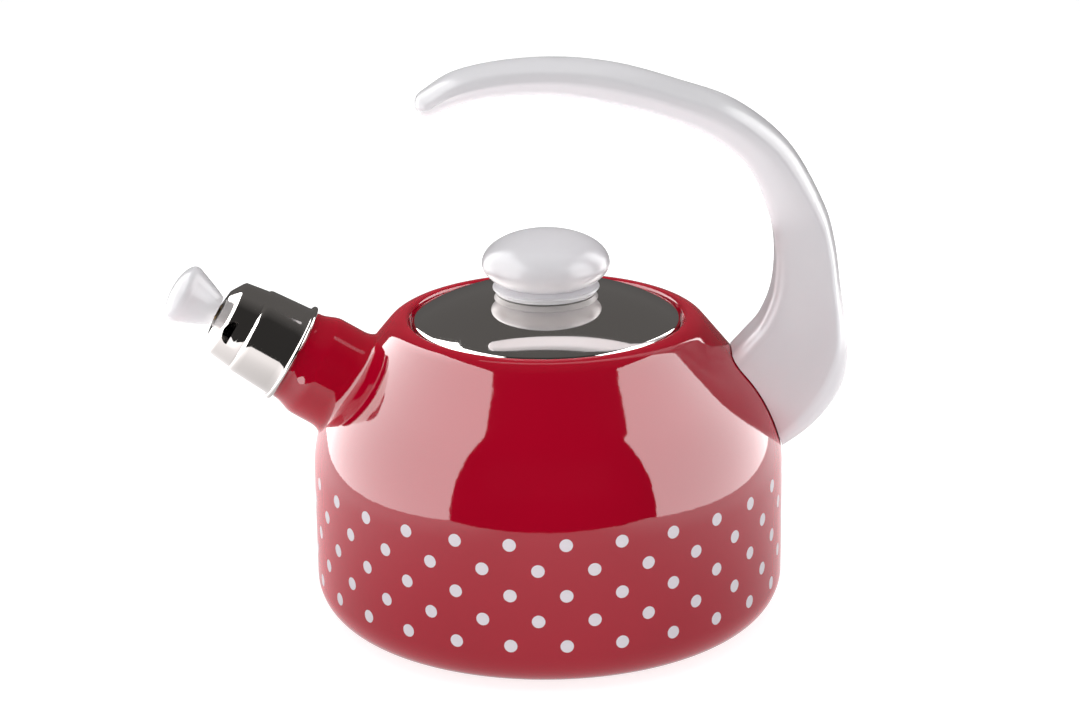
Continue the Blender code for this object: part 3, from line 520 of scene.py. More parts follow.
# Each station, in millimetres from the foot point on the body: the back (x, z) and the underside (x, z),
# then half the width at the ridge, how far in the ridge lies, half the width of the underside, how much
# the flank swells, how soft the ridge is and how round the back is.
STATIONS = (
    (-129.2, 121.2, -124.9, 112.8, 8.2, 0.36, 6.6, 0.4, 2.6, 2.0),
    (-118.0, 128.0, -114.6, 117.2, 10.6, 0.30, 8.7, 0.4, 2.4, 2.0),
    (-100.0, 131.9, -99.0, 119.9, 11.7, 0.25, 9.6, 0.4, 2.2, 2.0),
    (-78.0, 133.0, -80.0, 120.0, 12.3, 0.24, 10.0, 0.4, 2.0, 2.0),
    (-55.9, 130.4, -59.4, 116.4, 12.6, 0.24, 10.2, 0.4, 2.0, 2.0),
    (-33.4, 123.8, -38.9, 111.2, 12.9, 0.24, 10.4, 0.4, 2.0, 2.0),
    (-12.0, 115.8, -20.9, 102.9, 13.1, 0.25, 10.6, 0.4, 2.0, 2.0),
    (7.2, 100.1, -7.7, 91.3, 13.3, 0.23, 10.6, 0.4, 2.0, 2.0),
    (19.8, 78.5, -0.6, 75.1, 13.5, 0.16, 10.6, 0.3, 2.0, 2.0),
    (24.8, 63.2, 2.5, 60.8, 13.9, 0.12, 10.6, 0.1, 2.0, 2.1),
    (27.8, 42.0, 1.8, 44.1, 15.0, 0.11, 10.6, -0.4, 1.8, 2.2),
    (30.3, 26.0, -2.5, 32.1, 16.2, 0.13, 10.8, -0.9, 1.6, 2.4),
    (30.8, 15.0, -8.2, 25.0, 17.0, 0.17, 11.2, -1.2, 1.4, 2.5),
    (27.6, 3.0, -14.2, 18.2, 17.0, 0.20, 11.8, -1.2, 1.4, 2.5),
    (19.1, -9.2, -20.4, 11.0, 15.4, 0.20, 12.4, -1.0, 1.5, 2.4),
    (7.6, -19.0, -25.9, 3.0, 9.8, 0.16, 11.4, -0.6, 1.6, 2.2),
    (-2.4, -23.5, -29.9, -6.0, 5.2, 0.10, 8.0, 0.0, 1.6, 2.0),
)
STATION_STEPS = 6
UNDERSIDE_CORNER = 6.0
TIP_REACH = 5.0 * MM
TIP_DEGREES = (86, 78, 68, 57, 45, 33, 21, 10)


def between(rows, position):
    """The row at a fractional position, on a smooth curve through all the rows."""
    last = len(rows) - 1
    low = min(int(position), last - 1)
    share = position - low
    a, b, c, d = (rows[max(0, min(last, low + i))] for i in (-1, 0, 1, 2))
    made = []
    for p, q, r, s in zip(a, b, c, d):
        curve = 2 * q + (r - p) * share
        curve += (2 * p - 5 * q + 4 * r - s) * share**2 + (3 * q - p - 3 * r + s) * share**3
        made.append(curve / 2)
    return made


def bow(start, control, end, count):
    """Points after the start of a curve that bows from start to end towards a control point."""
    made = []
    for i in range(1, count + 1):
        t = i / count
        made.append(start * (1 - t) ** 2 + control * 2 * t * (1 - t) + end * t**2)
    return made


def half_section(depth, half_width, ridge, floor_half, swell, softness, roundness):
    """Half a section as (across, depth), from the back's middle round to the underside's middle."""
    top = Vector((half_width, ridge * depth))
    low = Vector((floor_half, depth))
    flank = (low - top).normalized()
    corner = min(UNDERSIDE_CORNER, 0.35 * depth, 0.5 * floor_half)
    reach = half_width - softness
    crown = []
    for i in range(9):
        across = reach * i / 8
        crown.append(Vector((across, top.y * (across / half_width) ** roundness)))
    after_ridge = top + flank * softness
    before_corner = low - flank * corner
    outwards = Vector((flank.y, -flank.x)) * swell * 2
    points = crown + bow(crown[-1], top, after_ridge, 5)
    points += bow(after_ridge, (after_ridge + before_corner) / 2 + outwards, before_corner, 6)
    points += bow(before_corner, low, Vector((floor_half - corner, depth)), 6)
    return points + bow(points[-1], points[-1] / 2 + Vector((0, depth / 2)), Vector((0, depth)), 3)


def section(row, wall=0.0):
    """One closed ring of the handle's skin, in metres, moved in by a wall."""
    outer = Vector((row[0], 0, row[1])) * MM
    inner = Vector((row[2], 0, row[3])) * MM
    depth = (outer - inner).length
    inwards = (inner - outer) / depth
    half = half_section(depth / MM, *row[4:])
    narrowing = 1 - wall / (row[4] * MM)
    thinning = 1 - 2 * wall / depth
    near = []
    for across, deep in half:
        into = inwards * (wall + deep * MM * thinning)
        near.append(outer + into + Vector((0, -across * MM * narrowing, 0)))
    far = [Vector((point.x, -point.y, point.z)) for point in near[1:-1]]
    return near + far[::-1]


def loft(name, rings, rounded_end=None):
    """A closed skin through the rings, one end drawn to a point where the piece ends in the open."""
    skin = bmesh.new()
    loops = [[skin.verts.new(foot_point + point) for point in ring] for ring in rings]
    for low_loop, high_loop in zip(loops, loops[1:]):
        for i in range(len(low_loop)):
            j = (i + 1) % len(low_loop)
            skin.faces.new((low_loop[i], low_loop[j], high_loop[j], high_loop[i]))
    if rounded_end:
        bmesh.ops.pointmerge(skin, verts=loops[0], merge_co=foot_point + rounded_end)
    else:
        skin.faces.new(loops[0])
    skin.faces.new(loops[-1])
    bmesh.ops.recalc_face_normals(skin, faces=skin.faces)
    mesh = bpy.data.meshes.new(name)
    skin.to_mesh(mesh)
    skin.free()
    lofted = bpy.data.objects.new(name, mesh)
    bpy.context.scene.collection.objects.link(lofted)
    return lofted


station_count = (len(STATIONS) - 1) * STATION_STEPS + 1
handle_rows = [between(STATIONS, i / STATION_STEPS) for i in range(station_count)]
handle_rings = [section(row) for row in handle_rows]
tip_ring = handle_rings[0]
tip_middle = sum(tip_ring, Vector()) / len(tip_ring)
next_middle = sum(handle_rings[STATION_STEPS], Vector()) / len(tip_ring)
tip_forward = (tip_middle - next_middle).normalized()
tip_rings = []
for degrees in TIP_DEGREES:
    angle = math.radians(degrees)
    ahead = tip_middle + tip_forward * TIP_REACH * math.sin(angle)
    tip_rings.append([ahead + (point - tip_middle) * math.cos(angle) for point in tip_ring])
foot_point = Vector((HANDLE_FOOT_RADIUS, 0, HANDLE_HEIGHT))
swept_handle = loft("swept_handle", tip_rings + handle_rings, tip_middle + tip_forward * TIP_REACH)

# The root is hollow over the bracket, with a boss for the screw and a recess for its head underneath.
CAVITY_STATION = 12
BOSS_RADIUS = 6.6 * MM
BRACKET_HALF_SHEET = 1.25 * MM
SCREW_OUT = 15.0 * MM
SCREW_FLOOR = 8.0 * MM
SCREW_HOLE = 3.0 * MM
SCREW_RECESS = 5.0 * MM
PAST_HANDLE = -40 * MM
shoulder_rise = math.asin(foot_rise / SHOULDER_RADIUS)
foot_outwards = Vector((math.cos(shoulder_rise), 0, math.sin(shoulder_rise)))
screw_upwards = Vector((-math.sin(shoulder_rise), 0, math.cos(shoulder_rise)))
screw_middle = foot_point + foot_outwards * SCREW_OUT


def screw_cylinder(radius, low_end, high_end):
    """A cylinder on the handle screw's axis, between two distances up from the bracket's tongue."""
    bpy.ops.object.select_all(action="DESELECT")
    bpy.ops.mesh.primitive_cylinder_add(
        vertices=64, radius=radius, depth=high_end - low_end,
        location=screw_middle + screw_upwards * (low_end + high_end) / 2,
        rotation=(0, -shoulder_rise, 0),
    )
    return bpy.context.object


cavity_rows = handle_rows[CAVITY_STATION * STATION_STEPS:]
root_cavity = loft("root_cavity", [section(row, HANDLE_WALL) for row in cavity_rows])
boss_top = -BRACKET_HALF_SHEET - 0.3 * MM
cut_away(root_cavity, screw_cylinder(BOSS_RADIUS, PAST_HANDLE, boss_top))
cut_away(swept_handle, root_cavity)
cut_away(swept_handle, screw_cylinder(SCREW_HOLE, boss_top - SCREW_FLOOR - MM, boss_top + MM))
cut_away(swept_handle, screw_cylinder(SCREW_RECESS, PAST_HANDLE, boss_top - SCREW_FLOOR))
shoulder_cutter = draw_up("shoulder_cutter", body_outline(HANDLE_BODY_GAP), BODY_SIDES, True, True)
cut_away(swept_handle, shoulder_cutter)

# Phenolic is a hard thermoset with a clean moulded gloss: near white, with a slow waviness where it
# shrank in the mould and a few specks of filler.
MOULD_WAVE = 14 * MM
MOULD_WAVE_HEIGHT = 0.02 * MM
FILLER_SPECKS = 60.0
phenolic = new_material("Phenolic resin, moulded white", "EAE9ED", 0.0, 0.16, IOR=1.45)
phenolic_place = object_place(phenolic)
mould_wave = noise(phenolic, phenolic_place, 1 / MOULD_WAVE)
drive(phenolic, "Normal", bump_from(phenolic, mould_wave, MOULD_WAVE_HEIGHT))
filler = noise(phenolic, phenolic_place, FILLER_SPECKS, 6.0)
drive(phenolic, "Roughness", spread(phenolic, filler, 0.2, 0.28))
drive(phenolic, "Base Color", mix(phenolic, filler, linear("E8E7EB"), linear("EDECEF")))
swept_handle.data.materials.append(phenolic)
shade(swept_handle, 40)
stand_for(swept_handle, "handle", "kettle")

# ---------------------------------------------------------------------------------------------------
# Lid. A shallow dome pressed from stainless steel and mirror polished, its edge turned down to sit on
# the ledge, with a thin pressed skirt spot-welded under it that keeps it centred in the neck.

lid_low, lid_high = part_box("lid_plate")
LID_RADIUS = lid_high.x
LID_SHEET = 0.8 * MM
LID_EDGE_DROP = 1.3 * MM
LID_EDGE = lid_low.z + LID_EDGE_DROP
LID_RISE = 11.2 * MM
LID_SHAPE = 2.5
LID_HOLE = 3.0 * MM
EDGE_ROUNDING = 2.2 * MM
LID_SIDES = 160


def dome(radius):
    return LID_EDGE + LID_RISE * (1 - (radius / LID_RADIUS) ** LID_SHAPE)


edge_slope = math.atan(LID_RISE * LID_SHAPE / LID_RADIUS)
dome_edge = LID_RADIUS - EDGE_ROUNDING * (1 - math.sin(edge_slope))
lid_rings = []
for i in range(41):
    radius = LID_HOLE + (dome_edge - LID_HOLE) * i / 40
    lid_rings.append((radius, dome(radius)))
edge_centre = (LID_RADIUS - EDGE_ROUNDING, dome(dome_edge) - EDGE_ROUNDING * math.cos(edge_slope))
lid_rings += arc(edge_centre, EDGE_ROUNDING, 90 - math.degrees(edge_slope), 0, 10)[1:]
domed_lid = draw_up("domed_lid", lid_rings, LID_SIDES)
apply_modifier(domed_lid, "SOLIDIFY", thickness=LID_SHEET, offset=-1, use_even_offset=True)

# Mirror-polished stainless: a slightly warm grey metal, with very faint circular buffing and a haze
# of finger marks that only softens the reflections here and there.
STEEL_GREY = "CDCAC7"
POLISH_LINE = 0.5 * MM
POLISH_HEIGHT = 0.0003 * MM
FINGER_MARKS = 55.0


def polished_steel(name, low, high, turned_axis=None, origin=None):
    """Stainless steel buffed round an axis: fine rings of polish, softer where it has been handled."""
    made = new_material(name, STEEL_GREY, 1.0, low)
    place = object_place(made)
    if turned_axis:
        angles = Vector((0, 0, 1)).rotation_difference(turned_axis).inverted().to_euler()
        shift = add_node(made, "ShaderNodeVectorMath", {0: place, 1: origin}, operation="SUBTRACT")
        place = add_node(made, "ShaderNodeVectorRotate", {"Vector": shift, "Rotation": tuple(angles)},
                         rotation_type="EULER_XYZ")
    parts = parts_of(made, place)
    flat = add_node(made, "ShaderNodeCombineXYZ", {"X": parts["X"], "Y": parts["Y"]})
    rings = add_node(made, "ShaderNodeCombineXYZ", {"X": length_of(made, flat), "Z": parts["Z"]})
    lines = noise(made, rings, 1 / POLISH_LINE, 3.0)
    drive(made, "Normal", bump_from(made, lines, POLISH_HEIGHT))
    marks = noise(made, place, FINGER_MARKS, 4.0)
    drive(made, "Roughness", spread(made, marks, low, high, From_Min=0.35, From_Max=0.75))
    return made


mirror_steel = polished_steel("Stainless steel, mirror polished", 0.03, 0.07)
sheet_steel = polished_steel("Stainless steel, pressed sheet", 0.22, 0.36)
domed_lid.data.materials.append(mirror_steel)
shade(domed_lid)
stand_for(domed_lid, "lid_plate", "lid")

skirt_low, skirt_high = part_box("lid_skirt")
SKIRT_RADIUS = skirt_high.x
SKIRT_SHEET = 0.6 * MM
SKIRT_FLANGE = 7.0 * MM
SKIRT_CORNER = 1.2 * MM
LID_TO_SKIRT = 1.25 * MM
skirt_rings = []
for i in range(9):
    radius = SKIRT_RADIUS - SKIRT_CORNER - (SKIRT_FLANGE - SKIRT_CORNER) * (1 - i / 8)
    skirt_rings.append((radius, dome(radius) - LID_TO_SKIRT))
corner_height = skirt_rings[-1][1] - SKIRT_CORNER
skirt_rings += arc((SKIRT_RADIUS - SKIRT_CORNER, corner_height), SKIRT_CORNER, 55, 0, 6)
skirt_rings.append((SKIRT_RADIUS, skirt_low.z + 0.6 * MM))
skirt_rings.append((SKIRT_RADIUS - 0.3 * MM, skirt_low.z))
seating_skirt = draw_up("seating_skirt", skirt_rings, LID_SIDES)
apply_modifier(seating_skirt, "SOLIDIFY", thickness=SKIRT_SHEET, offset=-1, use_even_offset=True)
seating_skirt.data.materials.append(sheet_steel)
shade(seating_skirt)
stand_for(seating_skirt, "lid_skirt", "lid")

# ---------------------------------------------------------------------------------------------------
# Lid knob. A one-piece mushroom moulded in the same white phenolic, with a grooved foot ring that
# rests on the dome, a hollow underside and a boss with a brass insert for the screw from below.

knob_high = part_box("lid_knob")[1]
KNOB_RADIUS = 24.2 * MM
KNOB_FOOT_RADIUS = 18.9 * MM
KNOB_FOOT_FLARE = 1.4 * MM
KNOB_FOOT_HEIGHT = 2.4 * MM
KNOB_GROOVE = 0.7 * MM
KNOB_BULGE_BELOW = 8.8 * MM
KNOB_BULGE_ABOVE = 12.0 * MM
KNOB_UNDERCUT = 56
KNOB_UNDERSIDE = 44
KNOB_WALL = 3.0 * MM
INSERT_PLAY = 0.3 * MM
KNOB_RECESS = 9.0 * MM
KNOB_BOSS_RADIUS = 7.0 * MM
KNOB_SIDES = 128
knob_base = knob_high.z - KNOB_BULGE_ABOVE - KNOB_BULGE_BELOW - KNOB_FOOT_HEIGHT
knob_waist = KNOB_FOOT_RADIUS + KNOB_FOOT_FLARE
foot_top = knob_base + KNOB_FOOT_HEIGHT
bulge = foot_top + KNOB_BULGE_BELOW
lower_height = KNOB_BULGE_BELOW / math.sin(math.radians(KNOB_UNDERCUT))
knob_rings = [(POINT, knob_high.z)]
for i in range(1, 25):
    angle = math.radians(90 - 90 * i / 24)
    knob_rings.append((KNOB_RADIUS * math.cos(angle), bulge + KNOB_BULGE_ABOVE * math.sin(angle)))
for i in range(1, 11):
    angle = math.radians(-KNOB_UNDERSIDE * i / 10)
    knob_rings.append((KNOB_RADIUS * math.cos(angle), bulge + lower_height * math.sin(angle)))
knob_rings.append((knob_waist - KNOB_GROOVE + 0.1 * MM, foot_top + 0.25 * MM))
knob_rings.append((knob_waist - KNOB_GROOVE, foot_top))
knob_rings += arc((knob_waist - KNOB_GROOVE, foot_top - KNOB_GROOVE), KNOB_GROOVE, 80, 0, 5)
knob_rings.append((KNOB_FOOT_RADIUS + 0.55 * KNOB_FOOT_FLARE, knob_base + 0.45 * KNOB_FOOT_HEIGHT))
knob_rings.append((KNOB_FOOT_RADIUS + 0.3 * MM, knob_base + 0.3 * MM))
knob_rings.append((KNOB_FOOT_RADIUS, knob_base))
knob_inside = KNOB_FOOT_RADIUS - KNOB_WALL
knob_rings.append((knob_inside, dome(knob_inside) + 0.3 * MM))
knob_rings.append((knob_inside - 0.4 * MM, knob_base + KNOB_RECESS - MM))
knob_rings.append((knob_inside - 1.4 * MM, knob_base + KNOB_RECESS))
knob_rings.append((KNOB_BOSS_RADIUS + 1.0 * MM, knob_base + KNOB_RECESS))
knob_rings.append((KNOB_BOSS_RADIUS, knob_base + KNOB_RECESS - MM))
insert_box_low, insert_box_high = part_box("lid_knob_insert")
insert_hole = insert_box_high.x + INSERT_PLAY
boss_bottom = insert_box_low.z - INSERT_PLAY
knob_rings.append((KNOB_BOSS_RADIUS, boss_bottom))
knob_rings.append((insert_hole, boss_bottom))
knob_rings.append((insert_hole, insert_box_high.z + INSERT_PLAY))
knob_rings.append((POINT, insert_box_high.z + INSERT_PLAY))
mushroom_knob = draw_up("mushroom_knob", knob_rings, KNOB_SIDES, close_start=True, close_end=True)
mushroom_knob.data.materials.append(phenolic)
shade(mushroom_knob, 38)
stand_for(mushroom_knob, "lid_knob", "lid")

# Turned brass keeps its bright yellow inside the mouldings, with fine lathe lines.
brass = new_material("Brass, turned", "C9A45A", 1.0, 0.3)
brass_place = object_place(brass)
LATHE_LINES = 1500.0
drive(brass, "Roughness", spread(brass, noise(brass, brass_place, LATHE_LINES, 3.0), 0.2, 0.4))
finish_solids(brass, "lid_knob_insert", "whistle_knob_insert")

# ---------------------------------------------------------------------------------------------------
# Whistle cap. A stainless cup drawn in two steps with a rolled rear bead, a chamfered nose and a
# half-moon steam slot on each side. It is polished outside, and its two holed plates are pressed in.

CAP_SHEET = 0.6 * MM
CAP_BEAD = 0.95 * MM
CAP_REAR_RADIUS = 18.2 * MM
CAP_STEP_RADIUS = 17.1 * MM
CAP_STEP = 17.5 * MM
CAP_STEP_DEPTH = 0.85 * MM
CAP_STEP_LENGTH = 1.2 * MM
CAP_FRONT_RADIUS = 15.1 * MM
CAP_FRONT = 27.7 * MM
CAP_NOSE_RADIUS = 9.4 * MM
CAP_NOSE_LENGTH = 3.7 * MM
CAP_NOSE_RISE = 1.0 * MM
CAP_SCREW_HOLE = 2.2 * MM
EDGE = 0.35 * MM
SLOT_WIDTH = 9.8 * MM
SLOT_START = 24.2 * MM
SLOT_LENGTH = 3.7 * MM
LIP_DEPTH = 0.45 * MM
LIP_LENGTH = 4.6 * MM
LIP_FLAT = 0.9 * MM
CAP_SIDES = 192
SLOT_SIDES = 48

cap_rings = arc((CAP_REAR_RADIUS + CAP_BEAD - CAP_SHEET / 2, 0), CAP_BEAD, -150, 118, 18)
cap_rings.append((CAP_REAR_RADIUS + 0.05 * MM, CAP_BEAD + 0.35 * MM))
cap_rings.append((CAP_REAR_RADIUS, CAP_BEAD + 0.9 * MM))
cap_rings += straight((CAP_REAR_RADIUS, CAP_BEAD), (CAP_STEP_RADIUS, CAP_STEP - EDGE), 12)
cap_rings.append((CAP_STEP_RADIUS - 0.12 * MM, CAP_STEP))
cap_rings.append((CAP_STEP_RADIUS - 0.25 * CAP_STEP_DEPTH, CAP_STEP + 0.3 * CAP_STEP_LENGTH))
cap_rings.append((CAP_STEP_RADIUS - 0.75 * CAP_STEP_DEPTH, CAP_STEP + 0.7 * CAP_STEP_LENGTH))
cap_rings.append((CAP_STEP_RADIUS - CAP_STEP_DEPTH, CAP_STEP + CAP_STEP_LENGTH))
front_start = (CAP_STEP_RADIUS - CAP_STEP_DEPTH, CAP_STEP + CAP_STEP_LENGTH + EDGE)
cap_rings.append(front_start)
cap_rings += straight(front_start, (CAP_FRONT_RADIUS, CAP_FRONT - EDGE), 18)
cap_rings.append((CAP_FRONT_RADIUS - 0.15 * MM, CAP_FRONT))
cap_rings += straight((CAP_FRONT_RADIUS - EDGE, CAP_FRONT + EDGE),
                      (CAP_NOSE_RADIUS + EDGE, CAP_FRONT + CAP_NOSE_LENGTH - 0.3 * EDGE), 8)
cap_rings.append((CAP_NOSE_RADIUS, CAP_FRONT + CAP_NOSE_LENGTH))
cap_rings.append((CAP_NOSE_RADIUS - 1.5 * EDGE, CAP_FRONT + CAP_NOSE_LENGTH + 0.2 * EDGE))
nose_end = CAP_FRONT + CAP_NOSE_LENGTH + CAP_NOSE_RISE
cap_rings.append((CAP_SCREW_HOLE, nose_end))
whistle_housing = draw_up("whistle_housing", cap_rings, CAP_SIDES)


def lip_depth_share(behind):
    """How deep the lip is, from 1 by the slot down to 0, at a distance behind its straight edge."""
    if behind < LIP_FLAT:
        return 1
    return (1 + math.cos(math.pi * (behind - LIP_FLAT) / (LIP_LENGTH - LIP_FLAT))) / 2


# The metal behind each slot's straight edge is pressed inwards as a shallow lip.
for vert in whistle_housing.data.vertices:
    x, y, z = vert.co
    behind = SLOT_START + 0.3 * MM - z
    if abs(x) < SLOT_WIDTH / 2 and -0.4 * MM < behind < LIP_LENGTH and abs(y) > CAP_FRONT_RADIUS / 2:
        across_share = math.cos(math.pi * x / SLOT_WIDTH) ** 0.6
        vert.co.y -= math.copysign(LIP_DEPTH * across_share * lip_depth_share(behind), y)
apply_modifier(whistle_housing, "SOLIDIFY", thickness=CAP_SHEET, offset=-1, use_even_offset=True)
for side in (-1, 1):
    bpy.ops.mesh.primitive_cylinder_add(
        vertices=SLOT_SIDES, radius=SLOT_WIDTH / 2, depth=CAP_FRONT_RADIUS, rotation=(math.pi / 2, 0, 0),
        location=(0, side * CAP_FRONT_RADIUS, SLOT_START),
    )
    half_moon = bpy.context.object
    half_moon.scale = (1, SLOT_LENGTH / (SLOT_WIDTH / 2), 1)
    bpy.ops.object.transform_apply(location=True, rotation=True, scale=True)
    bpy.ops.object.mode_set(mode="EDIT")
    bpy.ops.mesh.select_all(action="SELECT")
    bpy.ops.mesh.bisect(plane_co=(0, 0, SLOT_START), plane_no=(0, 0, 1), clear_inner=True, use_fill=True)
    bpy.ops.mesh.select_all(action="SELECT")
    bpy.ops.mesh.normals_make_consistent(inside=False)
    bpy.ops.object.mode_set(mode="OBJECT")
    cut_away(whistle_housing, half_moon)
lay_on_axis(whistle_housing, seat_point)
spun_steel = polished_steel("Stainless steel, spun and polished", 0.05, 0.1, pull, tuple(seat_point))
whistle_housing.data.materials.append(spun_steel)
shade(whistle_housing, 28)
stand_for(whistle_housing, "whistle_cap", "whistle")

# Reeds. Two thin pressed plates across the cap, each with a small hole: steam rushing through both
# makes the whistle. The rear one is a flanged cup, the front one a rimmed disc.
finish_solids(sheet_steel, "whistle_rear_reed", "whistle_front_reed")

# ---------------------------------------------------------------------------------------------------
# Whistle knob. A small trumpet of white phenolic to pull the hot cap by, screwed on from inside.

TRUMPET_NECK = 5.75 * MM
TRUMPET_RADIUS = 11.5 * MM
TRUMPET_LENGTH = 18.8 * MM
TRUMPET_CROWN = 5.0 * MM
TRUMPET_FLARE = 0.86
TRUMPET_RIM = 4.6 * MM
TRUMPET_RIM_TURN = 30
TRUMPET_HOLE = 3.7 * MM
TRUMPET_HOLE_DEPTH = 9 * MM
TRUMPET_SIDES = 96
trumpet_base = nose_end + 0.3 * MM
trumpet_end = trumpet_base + TRUMPET_LENGTH
trumpet_shoulder = trumpet_end - TRUMPET_CROWN
trumpet_rings = [(POINT, trumpet_end)]
for i in range(1, 17):
    angle = math.radians(90 - 90 * i / 16)
    crown_height = trumpet_shoulder + TRUMPET_CROWN * math.sin(angle)
    trumpet_rings.append((TRUMPET_RADIUS * math.cos(angle), crown_height))
rim_centre = (TRUMPET_RADIUS - TRUMPET_RIM, trumpet_shoulder)
trumpet_rings += arc(rim_centre, TRUMPET_RIM, 0, -TRUMPET_RIM_TURN, 6)[1:]
rim_radius, rim_height = trumpet_rings[-1]
for i in range(1, 21):
    share = i / 20
    flare = (1 - share) ** TRUMPET_FLARE
    trumpet_rings.append((TRUMPET_NECK + (rim_radius - TRUMPET_NECK) * flare,
                          rim_height + (trumpet_base - rim_height) * share))
trumpet_rings.append((TRUMPET_HOLE, trumpet_base))
trumpet_rings.append((TRUMPET_HOLE, trumpet_base + TRUMPET_HOLE_DEPTH))
trumpet_rings.append((POINT, trumpet_base + TRUMPET_HOLE_DEPTH))
pull_knob = draw_up("pull_knob", trumpet_rings, TRUMPET_SIDES, close_start=True, close_end=True)
lay_on_axis(pull_knob, seat_point)
pull_knob.data.materials.append(phenolic)
shade(pull_knob, 38)
stand_for(pull_knob, "whistle_knob", "whistle")

# ---------------------------------------------------------------------------------------------------
# Studio. A camera that looks slightly down on the kettle's side, a pale floor with a white table that
# shows only in reflections and scattered light, and a plain backdrop. The table glows as painted light,
# with a painted shadow of the kettle round its middle and painted light brighter towards its sides. Two
# tall panels at the sides are mirrored in the enamel. Weaker panels in the same places, a front fill, a
# top light and a small light for the handle's arm give the even light.

CAMERA_PLACE = Vector((0, -1.1276, 0.4726))
CAMERA_PITCH = math.radians(18.363)
CAMERA_YAW = math.radians(-0.135)
CAMERA_ROLL = math.radians(0.744)
CAMERA_LENS = 103.67
CAMERA_SENSOR = 36
camera_data = bpy.data.cameras.new("camera")
camera_data.lens = CAMERA_LENS
camera_data.sensor_width = CAMERA_SENSOR
camera = bpy.data.objects.new("camera", camera_data)
bpy.context.scene.collection.objects.link(camera)
forward = Vector((math.sin(CAMERA_YAW) * math.cos(CAMERA_PITCH),
                  math.cos(CAMERA_YAW) * math.cos(CAMERA_PITCH), -math.sin(CAMERA_PITCH)))
level = Vector((math.cos(CAMERA_YAW), -math.sin(CAMERA_YAW), 0))
upright = level.cross(forward)
right = level * math.cos(CAMERA_ROLL) - upright * math.sin(CAMERA_ROLL)
over = level * math.sin(CAMERA_ROLL) + upright * math.cos(CAMERA_ROLL)
camera_turn = Matrix((right, over, -forward)).transposed().to_4x4()
camera.matrix_world = Matrix.Translation(CAMERA_PLACE) @ camera_turn
bpy.context.scene.camera = camera
bpy.context.scene.view_settings.view_transform = "Standard"


def emitter(name, colour, strength):
    made = bpy.data.materials.new(name)
    made.use_nodes = True
    made.node_tree.nodes.clear()
    glow = made.node_tree.nodes.new("ShaderNodeEmission")
    glow.inputs["Color"].default_value = linear(colour)
    glow.inputs["Strength"].default_value = strength
    end = made.node_tree.nodes.new("ShaderNodeOutputMaterial")
    made.node_tree.links.new(glow.outputs[0], end.inputs["Surface"])
    return made


FLOOR_SIZE = 30.0
FLOOR_GLOW = 0.8
FLOOR_DROP = 0.3 * MM
bpy.ops.mesh.primitive_plane_add(size=FLOOR_SIZE, location=(0, 0, -FLOOR_DROP))
floor = bpy.context.object
floor.name = "floor"
floor.visible_glossy = False
floor.visible_diffuse = False
matt_floor = new_material("Floor, matt pale", "A8A8A9", 0.0, 0.9)
shader_of(matt_floor)["Emission Color"].default_value = linear("FFFFFF")
shader_of(matt_floor)["Emission Strength"].default_value = FLOOR_GLOW
floor.data.materials.append(matt_floor)

# The table is no lamp, but it glows with painted light: dimmer near the kettle as a painted shadow, and
# brighter towards the sides as painted light from the side panels.
TABLE_SIZE = 0.86
TABLE_RADIANCE = 1.2
TABLE_SIDE_RADIANCE = 2.0
TABLE_SIDE = 0.35
TABLE_SHADE = 0.62
TABLE_SHADE_RADIUS = 0.09
TABLE_CLEAR_RADIUS = 0.30
TABLE_DROP = 0.6 * MM
bpy.ops.mesh.primitive_plane_add(size=TABLE_SIZE, location=(0, 0, -TABLE_DROP))
table_glow = bpy.context.object
table_glow.name = "table_glow"
table_glow.visible_camera = False
table_glow.visible_shadow = False
table_light = emitter("White table, glowing with painted light", "FFFBFC", TABLE_RADIANCE)
table_place = object_place(table_light)
# Painted shadow of the kettle: the glow is dimmer near the table's middle.
table_shade = add_node(
    table_light, "ShaderNodeMapRange",
    {"Value": length_of(table_light, table_place), "From Min": TABLE_SHADE_RADIUS,
     "From Max": TABLE_CLEAR_RADIUS, "To Min": TABLE_SHADE, "To Max": 1.0},
    interpolation_type="SMOOTHSTEP",
)
# Painted light from the side panels: the glow is brighter towards the table's sides.
table_aside = maths(table_light, "ABSOLUTE", parts_of(table_light, table_place)["X"])
painted_side_light = add_node(
    table_light, "ShaderNodeMapRange",
    {"Value": table_aside, "From Min": TABLE_SHADE_RADIUS, "From Max": TABLE_SIDE,
     "To Min": TABLE_RADIANCE, "To Max": TABLE_SIDE_RADIANCE},
    interpolation_type="SMOOTHSTEP",
)
table_level = maths(table_light, "MULTIPLY", table_shade, painted_side_light)
table_strength = table_light.node_tree.nodes["Emission"].inputs["Strength"]
table_light.node_tree.links.new(table_level, table_strength)
table_glow.data.materials.append(table_light)

BACKDROP_RADIUS = 6.5
BACKDROP_GLOW = 1.1
bpy.ops.mesh.primitive_uv_sphere_add(
    segments=48, ring_count=24, radius=BACKDROP_RADIUS, location=(0, 0, 0)
)
backdrop = bpy.context.object
backdrop.name = "backdrop"
backdrop.visible_glossy = False
backdrop.visible_diffuse = False
backdrop.visible_shadow = False
backdrop.visible_transmission = False
backdrop.data.materials.append(emitter("Backdrop, plain pale", "FFFFFF", BACKDROP_GLOW))


def soft_box(name, place, target, width, height, radiance, glossy, diffuse):
    """A rectangular area light facing its target, as bright per area as its radiance says."""
    data = bpy.data.lights.new(name, "AREA")
    data.shape = "RECTANGLE"
    data.size = width
    data.size_y = height
    data.energy = radiance * math.pi * width * height
    light = bpy.data.objects.new(name, data)
    bpy.context.scene.collection.objects.link(light)
    light.location = place
    light.rotation_euler = (Vector(target) - Vector(place)).to_track_quat("-Z", "Y").to_euler()
    light.visible_camera = False
    light.visible_glossy = glossy
    light.visible_diffuse = diffuse
    return light


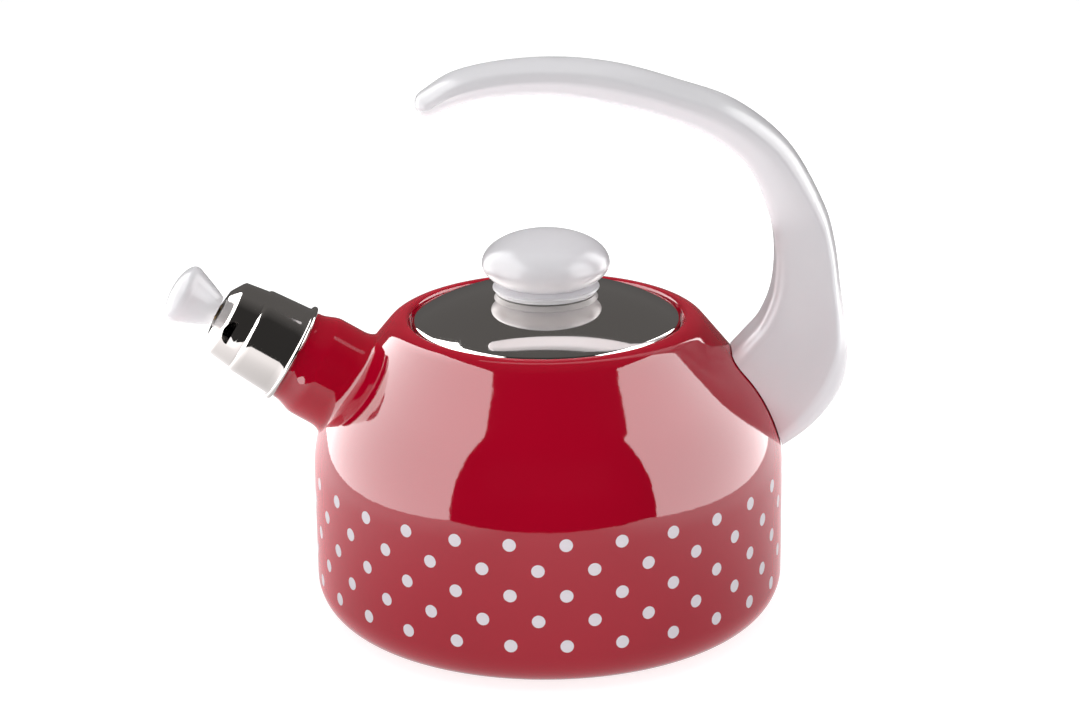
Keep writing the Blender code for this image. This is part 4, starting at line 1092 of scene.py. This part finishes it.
# Each light's place, the point that it faces, its width and its height.
LEFT_PANEL = ((-0.6, 0.10, 0.55), (0, 0.10, 0.55), 1.40, 1.30)
RIGHT_PANEL = ((0.6, 0.05, 0.41), (0, 0.05, 0.41), 1.14, 1.02)
FRONT_FILL = ((0, -1.25, 0.7), (0, 0, 0.1), 1.5, 0.7)
TOP_LIGHT = ((0, 0, 1.3), (0, 0, 0.1), 1.4, 1.2)
ARM_BOUNCE = ((0, 0, 0.15), (0, 0, 1), 0.16, 0.08)
GLOSS_RADIANCE = 6.0
LEFT_RADIANCE = 4.4
RIGHT_RADIANCE = 4.8
FRONT_RADIANCE = 1.6
TOP_RADIANCE = 1.6
ARM_RADIANCE = 1.2
GLOSS_ONLY = (True, False)
DIFFUSE_ONLY = (False, True)
soft_box("left_panel", *LEFT_PANEL, GLOSS_RADIANCE, *GLOSS_ONLY)
soft_box("right_panel", *RIGHT_PANEL, GLOSS_RADIANCE, *GLOSS_ONLY)
soft_box("left_panel", *LEFT_PANEL, LEFT_RADIANCE, *DIFFUSE_ONLY)
soft_box("right_panel", *RIGHT_PANEL, RIGHT_RADIANCE, *DIFFUSE_ONLY)
soft_box("front_fill", *FRONT_FILL, FRONT_RADIANCE, *DIFFUSE_ONLY)
soft_box("top_light", *TOP_LIGHT, TOP_RADIANCE, *DIFFUSE_ONLY)
# The lid's mirror throws light up under the arm, and only there.
arm_bounce = soft_box("arm_bounce", *ARM_BOUNCE, ARM_RADIANCE, *DIFFUSE_ONLY)
lit_by_lid = bpy.data.collections.new("lit_by_lid")
lit_by_lid.objects.link(swept_handle)
arm_bounce.light_linking.receiver_collection = lit_by_lid

SKY_BRIGHT_SIDE = (0, 0.8, 0.9)
SKY_FADE = (0.35, 0.95)
SKY_LEVELS = (0.042, 0.145)
world = bpy.data.worlds.new("studio")
bpy.context.scene.world = world
world.use_nodes = True
sky = world.node_tree.nodes["Background"]
sky_place = world.node_tree.nodes.new("ShaderNodeTexCoord")
sky_lift = world.node_tree.nodes.new("ShaderNodeVectorMath")
sky_lift.operation = "DOT_PRODUCT"
sky_lift.inputs[1].default_value = SKY_BRIGHT_SIDE
world.node_tree.links.new(sky_place.outputs["Generated"], sky_lift.inputs[0])
sky_range = world.node_tree.nodes.new("ShaderNodeMapRange")
sky_range.inputs["From Min"].default_value, sky_range.inputs["From Max"].default_value = SKY_FADE
sky_range.inputs["To Min"].default_value, sky_range.inputs["To Max"].default_value = SKY_LEVELS
world.node_tree.links.new(sky_lift.outputs["Value"], sky_range.inputs["Value"])
world.node_tree.links.new(sky_range.outputs[0], sky.inputs["Strength"])
sky.inputs["Color"].default_value = linear("FFFAF7")
